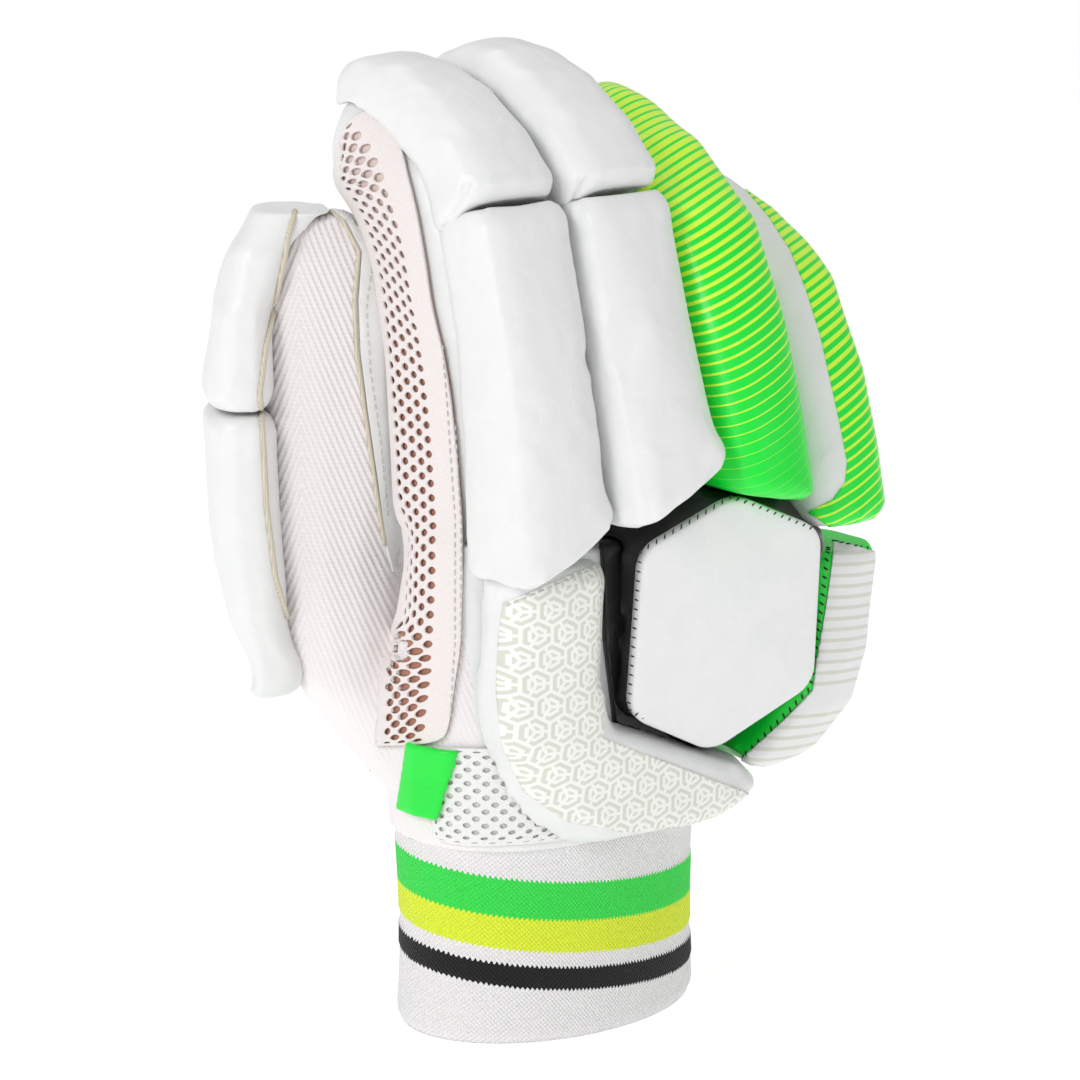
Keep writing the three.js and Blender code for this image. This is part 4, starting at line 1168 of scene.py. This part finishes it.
# Seams and bindings in the photograph's frame.
SEAM_LINES = {
    "ulnar_inner_stitches": [(828, 548), (823, 595), (817, 640), (810, 688), (782, 718), (742, 758)],
    "ulnar_top_stitches": [(834, 541), (884, 552)],
    "gauntlet_top_stitches": [(508, 605), (606, 564)],
    "gauntlet_inner_stitches": [(604, 566), (599, 736), (752, 795)],
    "mesh_seam_stitches": [
        (352, 118), (380, 150), (405, 185), (428, 232), (438, 300), (447, 400), (455, 520), (455, 640),
        (449, 735),
    ],
    "mesh_seam_stitches_outer": [
        (358, 112), (386, 142), (412, 178), (435, 228), (444, 300), (453, 400), (461, 520), (461, 640),
        (455, 735),
    ],
    "thumb_strip_stitches": [
        (337, 205), (362, 232), (372, 262), (366, 310), (370, 370), (380, 440), (388, 520),
    ],
    "thumb_binding": [
        (297, 206), (287, 240), (274, 300), (264, 350), (259, 392), (262, 440), (266, 510), (274, 575),
        (286, 618),
    ],
    "strip_binding": [
        (318, 203), (342, 222), (358, 252), (354, 300), (356, 350), (364, 410), (374, 480), (384, 545),
    ],
}


class GLOVE_OT_seams(bpy.types.Operator):
    """Sews the stitches and lays the bindings along the seams"""

    bl_idname = "glove.seams"
    bl_label = "Seams"

    def execute(self, context):
        colours = context.scene.glove_colours
        pieces = bpy.data.objects
        dark = twisted_thread("black sewing thread", colours.black)
        pale = twisted_thread("pale sewing thread", colours.thread)
        cord = twisted_thread("cotton binding", colours.binding)
        outward = hexagon_outward()
        ring = hexagon_points(inset=0.035, out=2.0)
        path = even_path([*ring, ring[0]], 2 * MM)
        fine = {"length": 1.7 * MM, "pitch": 2.6 * MM, "width": 0.5 * MM}
        stitch_row("knuckle_face_stitches", path, [outward] * len(path), dark, "black_leather", 62, **fine)
        ulnar = ["ulnar_pad_face_panel", "ulnar_pad_cover"]
        gauntlet = ["gauntlet_pad_face_panel"]
        strip = ["thumb_strip_leather"]
        for name, carriers, thread, slant, slot in (
            ("ulnar_inner_stitches", ulnar, dark, 60, "green_leather"),
            ("ulnar_top_stitches", ulnar, dark, 60, "green_leather"),
            ("gauntlet_top_stitches", gauntlet, pale, 0, "white_leather"),
            ("gauntlet_inner_stitches", gauntlet, pale, 0, "white_leather"),
            ("mesh_seam_stitches", ["side_mesh_net"], pale, 0, "side_mesh"),
            ("mesh_seam_stitches_outer", ["side_mesh_net"], pale, 0, "side_mesh"),
            ("thumb_strip_stitches", strip, pale, 0, "white_leather"),
        ):
            found = tree_of(*[pieces[c] for c in carriers])
            points, normals = traced(SEAM_LINES[name], found, step=4, lift=0.15 * MM)
            if len(points) > 2:
                stitch_row(name, points, normals, thread, slot, slant)
        for name, carriers, radius, lift in (
            ("thumb_binding", ["thumb_pad_tip_cover", "thumb_pad_lower_cover"], 0.75, 0.5),
            ("strip_binding", strip, 0.6, 0.4),
        ):
            found = tree_of(pieces["hand_knit"], *[pieces[c] for c in carriers])
            points, _ = traced(SEAM_LINES[name], found, step=7, lift=lift * MM)
            rope(name, points, radius * MM, cord, "white_leather")
        return {"FINISHED"}


# The cuff's rows of loops rise towards the thumb: the way across it, and the rise a millimetre.
CUFF_ACROSS = Vector((0.788, -0.616, 0.0))
CUFF_SLOPE = 0.14


class GLOVE_OT_cuff(bpy.types.Operator):
    """Makes the knitted cuff with its coloured bands"""

    bl_idname = "glove.cuff"
    bl_label = "Cuff"

    def execute(self, context):
        wall, height, across, deep, rows = 2.2, 54, 44.6, 31.6, 54
        shape = bmesh.new()
        bmesh.ops.create_circle(shape, segments=220, radius=1.0)
        bmesh.ops.scale(shape, vec=(across * MM, deep * MM, 1), verts=shape.verts)
        edges = shape.edges[:]
        for _ in range(rows):
            made = bmesh.ops.extrude_edge_only(shape, edges=edges)["geom"]
            verts = [g for g in made if isinstance(g, bmesh.types.BMVert)]
            edges = [g for g in made if isinstance(g, bmesh.types.BMEdge)]
            bmesh.ops.translate(shape, verts=verts, vec=(0, 0, height / rows * MM))
        for vertex in shape.verts:
            z = vertex.co.z / MM
            row = z + CUFF_SLOPE * vertex.co.dot(CUFF_ACROSS) / MM
            band = 0.35 if any(low < row < high for _, low, high in CUFF_BANDS) else 0.0
            waist = -1.1 * math.sin(math.pi * z / height) - 1.2 * math.exp(-((z / 1.6) ** 2))
            vertex.co.xy *= 1 + (band + waist) / 40
        bmesh.ops.recalc_face_normals(shape, faces=shape.faces)
        piece = placed("wrist_cuff_knit", shape)
        thickened(piece, wall)
        weave = piece.data.uv_layers.new(name="weave")
        for face in piece.data.polygons:
            turn = math.atan2(face.center.y, face.center.x)
            for corner in face.loop_indices:
                at = piece.data.vertices[piece.data.loops[corner].vertex_index].co
                angle = math.atan2(at.y, at.x)
                angle += 2 * math.pi * round((turn - angle) / (2 * math.pi))
                weave.data[corner].uv = (angle * 38 * MM, at.z + CUFF_SLOPE * at.dot(CUFF_ACROSS))
        dressed(piece, cuff_knit(), "cuff_knit", "wrist_cuff")
        return {"FINISHED"}


class GLOVE_OT_stage(bpy.types.Operator):
    """Makes the floor, the lights and the camera"""

    bl_idname = "glove.stage"
    bl_label = "Stage"

    def execute(self, context):
        scene = context.scene
        shape = bmesh.new()
        bmesh.ops.create_circle(shape, segments=96, radius=9.0, cap_ends=True)
        floor = placed("floor", shape)
        floor.data.materials.append(studio_paper())
        world = bpy.data.worlds.new("studio")
        world.use_nodes = True
        world.node_tree.nodes["Background"].inputs[0].default_value = linear("#FFFFFF")
        world.node_tree.nodes["Background"].inputs[1].default_value = 0.54
        scene.world = world
        lights = (
            ("key", (-1.2, -0.3, 0.8), 0.6, 6.9),
            ("fill", (0.2, -1.2, 0.1), 0.9, 1.5),
            ("top", (0.1, 0.3, 1.3), 0.8, 3.0),
        )
        for name, place, size, power in lights:
            data = bpy.data.lights.new(name, "AREA")
            data.shape = "DISK"
            data.size = size
            data.energy = power
            lamp = bpy.data.objects.new(name, data)
            lamp.location = place
            lamp.rotation_euler = (Vector(place) - Vector((0, 0, 0.13))).to_track_quat("Z", "Y").to_euler()
            scene.collection.objects.link(lamp)
        back = camera_axes()[2]
        lens = bpy.data.cameras.new("photo camera")
        lens.sensor_width = SENSOR
        lens.sensor_fit = "HORIZONTAL"
        lens.lens = LENS
        camera = bpy.data.objects.new("photo camera", lens)
        camera.location = LOOK_AT + back * DISTANCE
        camera.rotation_euler = back.to_track_quat("Z", "Y").to_euler()
        scene.collection.objects.link(camera)
        scene.camera = camera
        scene.view_settings.view_transform = "Standard"
        return {"FINISHED"}


class GLOVE_PT_panel(bpy.types.Panel):
    """Lists the steps that dress the glove"""

    bl_idname = "GLOVE_PT_panel"
    bl_label = "Batting Glove"
    bl_space_type = "VIEW_3D"
    bl_region_type = "UI"
    bl_category = "Glove"

    def draw(self, context):
        for step in STEPS:
            self.layout.operator(step.bl_idname)
        for group in (context.scene.glove_sizes, context.scene.glove_colours):
            box = self.layout.box()
            for name in group.__annotations__:
                box.prop(group, name)


STEPS = (
    GLOVE_OT_cuff,
    GLOVE_OT_hand,
    GLOVE_OT_thumb,
    GLOVE_OT_meshes,
    GLOVE_OT_finger_pads,
    GLOVE_OT_roll_pads,
    GLOVE_OT_back_pads,
    GLOVE_OT_seams,
    GLOVE_OT_stage,
)
CLASSES = (GloveSizes, GloveColours, *STEPS, GLOVE_PT_panel)


def register():
    for item in CLASSES:
        bpy.utils.register_class(item)
    bpy.types.Scene.glove_sizes = bpy.props.PointerProperty(type=GloveSizes)
    bpy.types.Scene.glove_colours = bpy.props.PointerProperty(type=GloveColours)


def unregister():
    del bpy.types.Scene.glove_colours
    del bpy.types.Scene.glove_sizes
    for item in reversed(CLASSES):
        bpy.utils.unregister_class(item)


def main():
    """Builds every piece in order."""
    register()
    for step in STEPS:
        group, name = step.bl_idname.split(".")
        getattr(getattr(bpy.ops, group), name)()


if __name__ == "__main__":
    main()
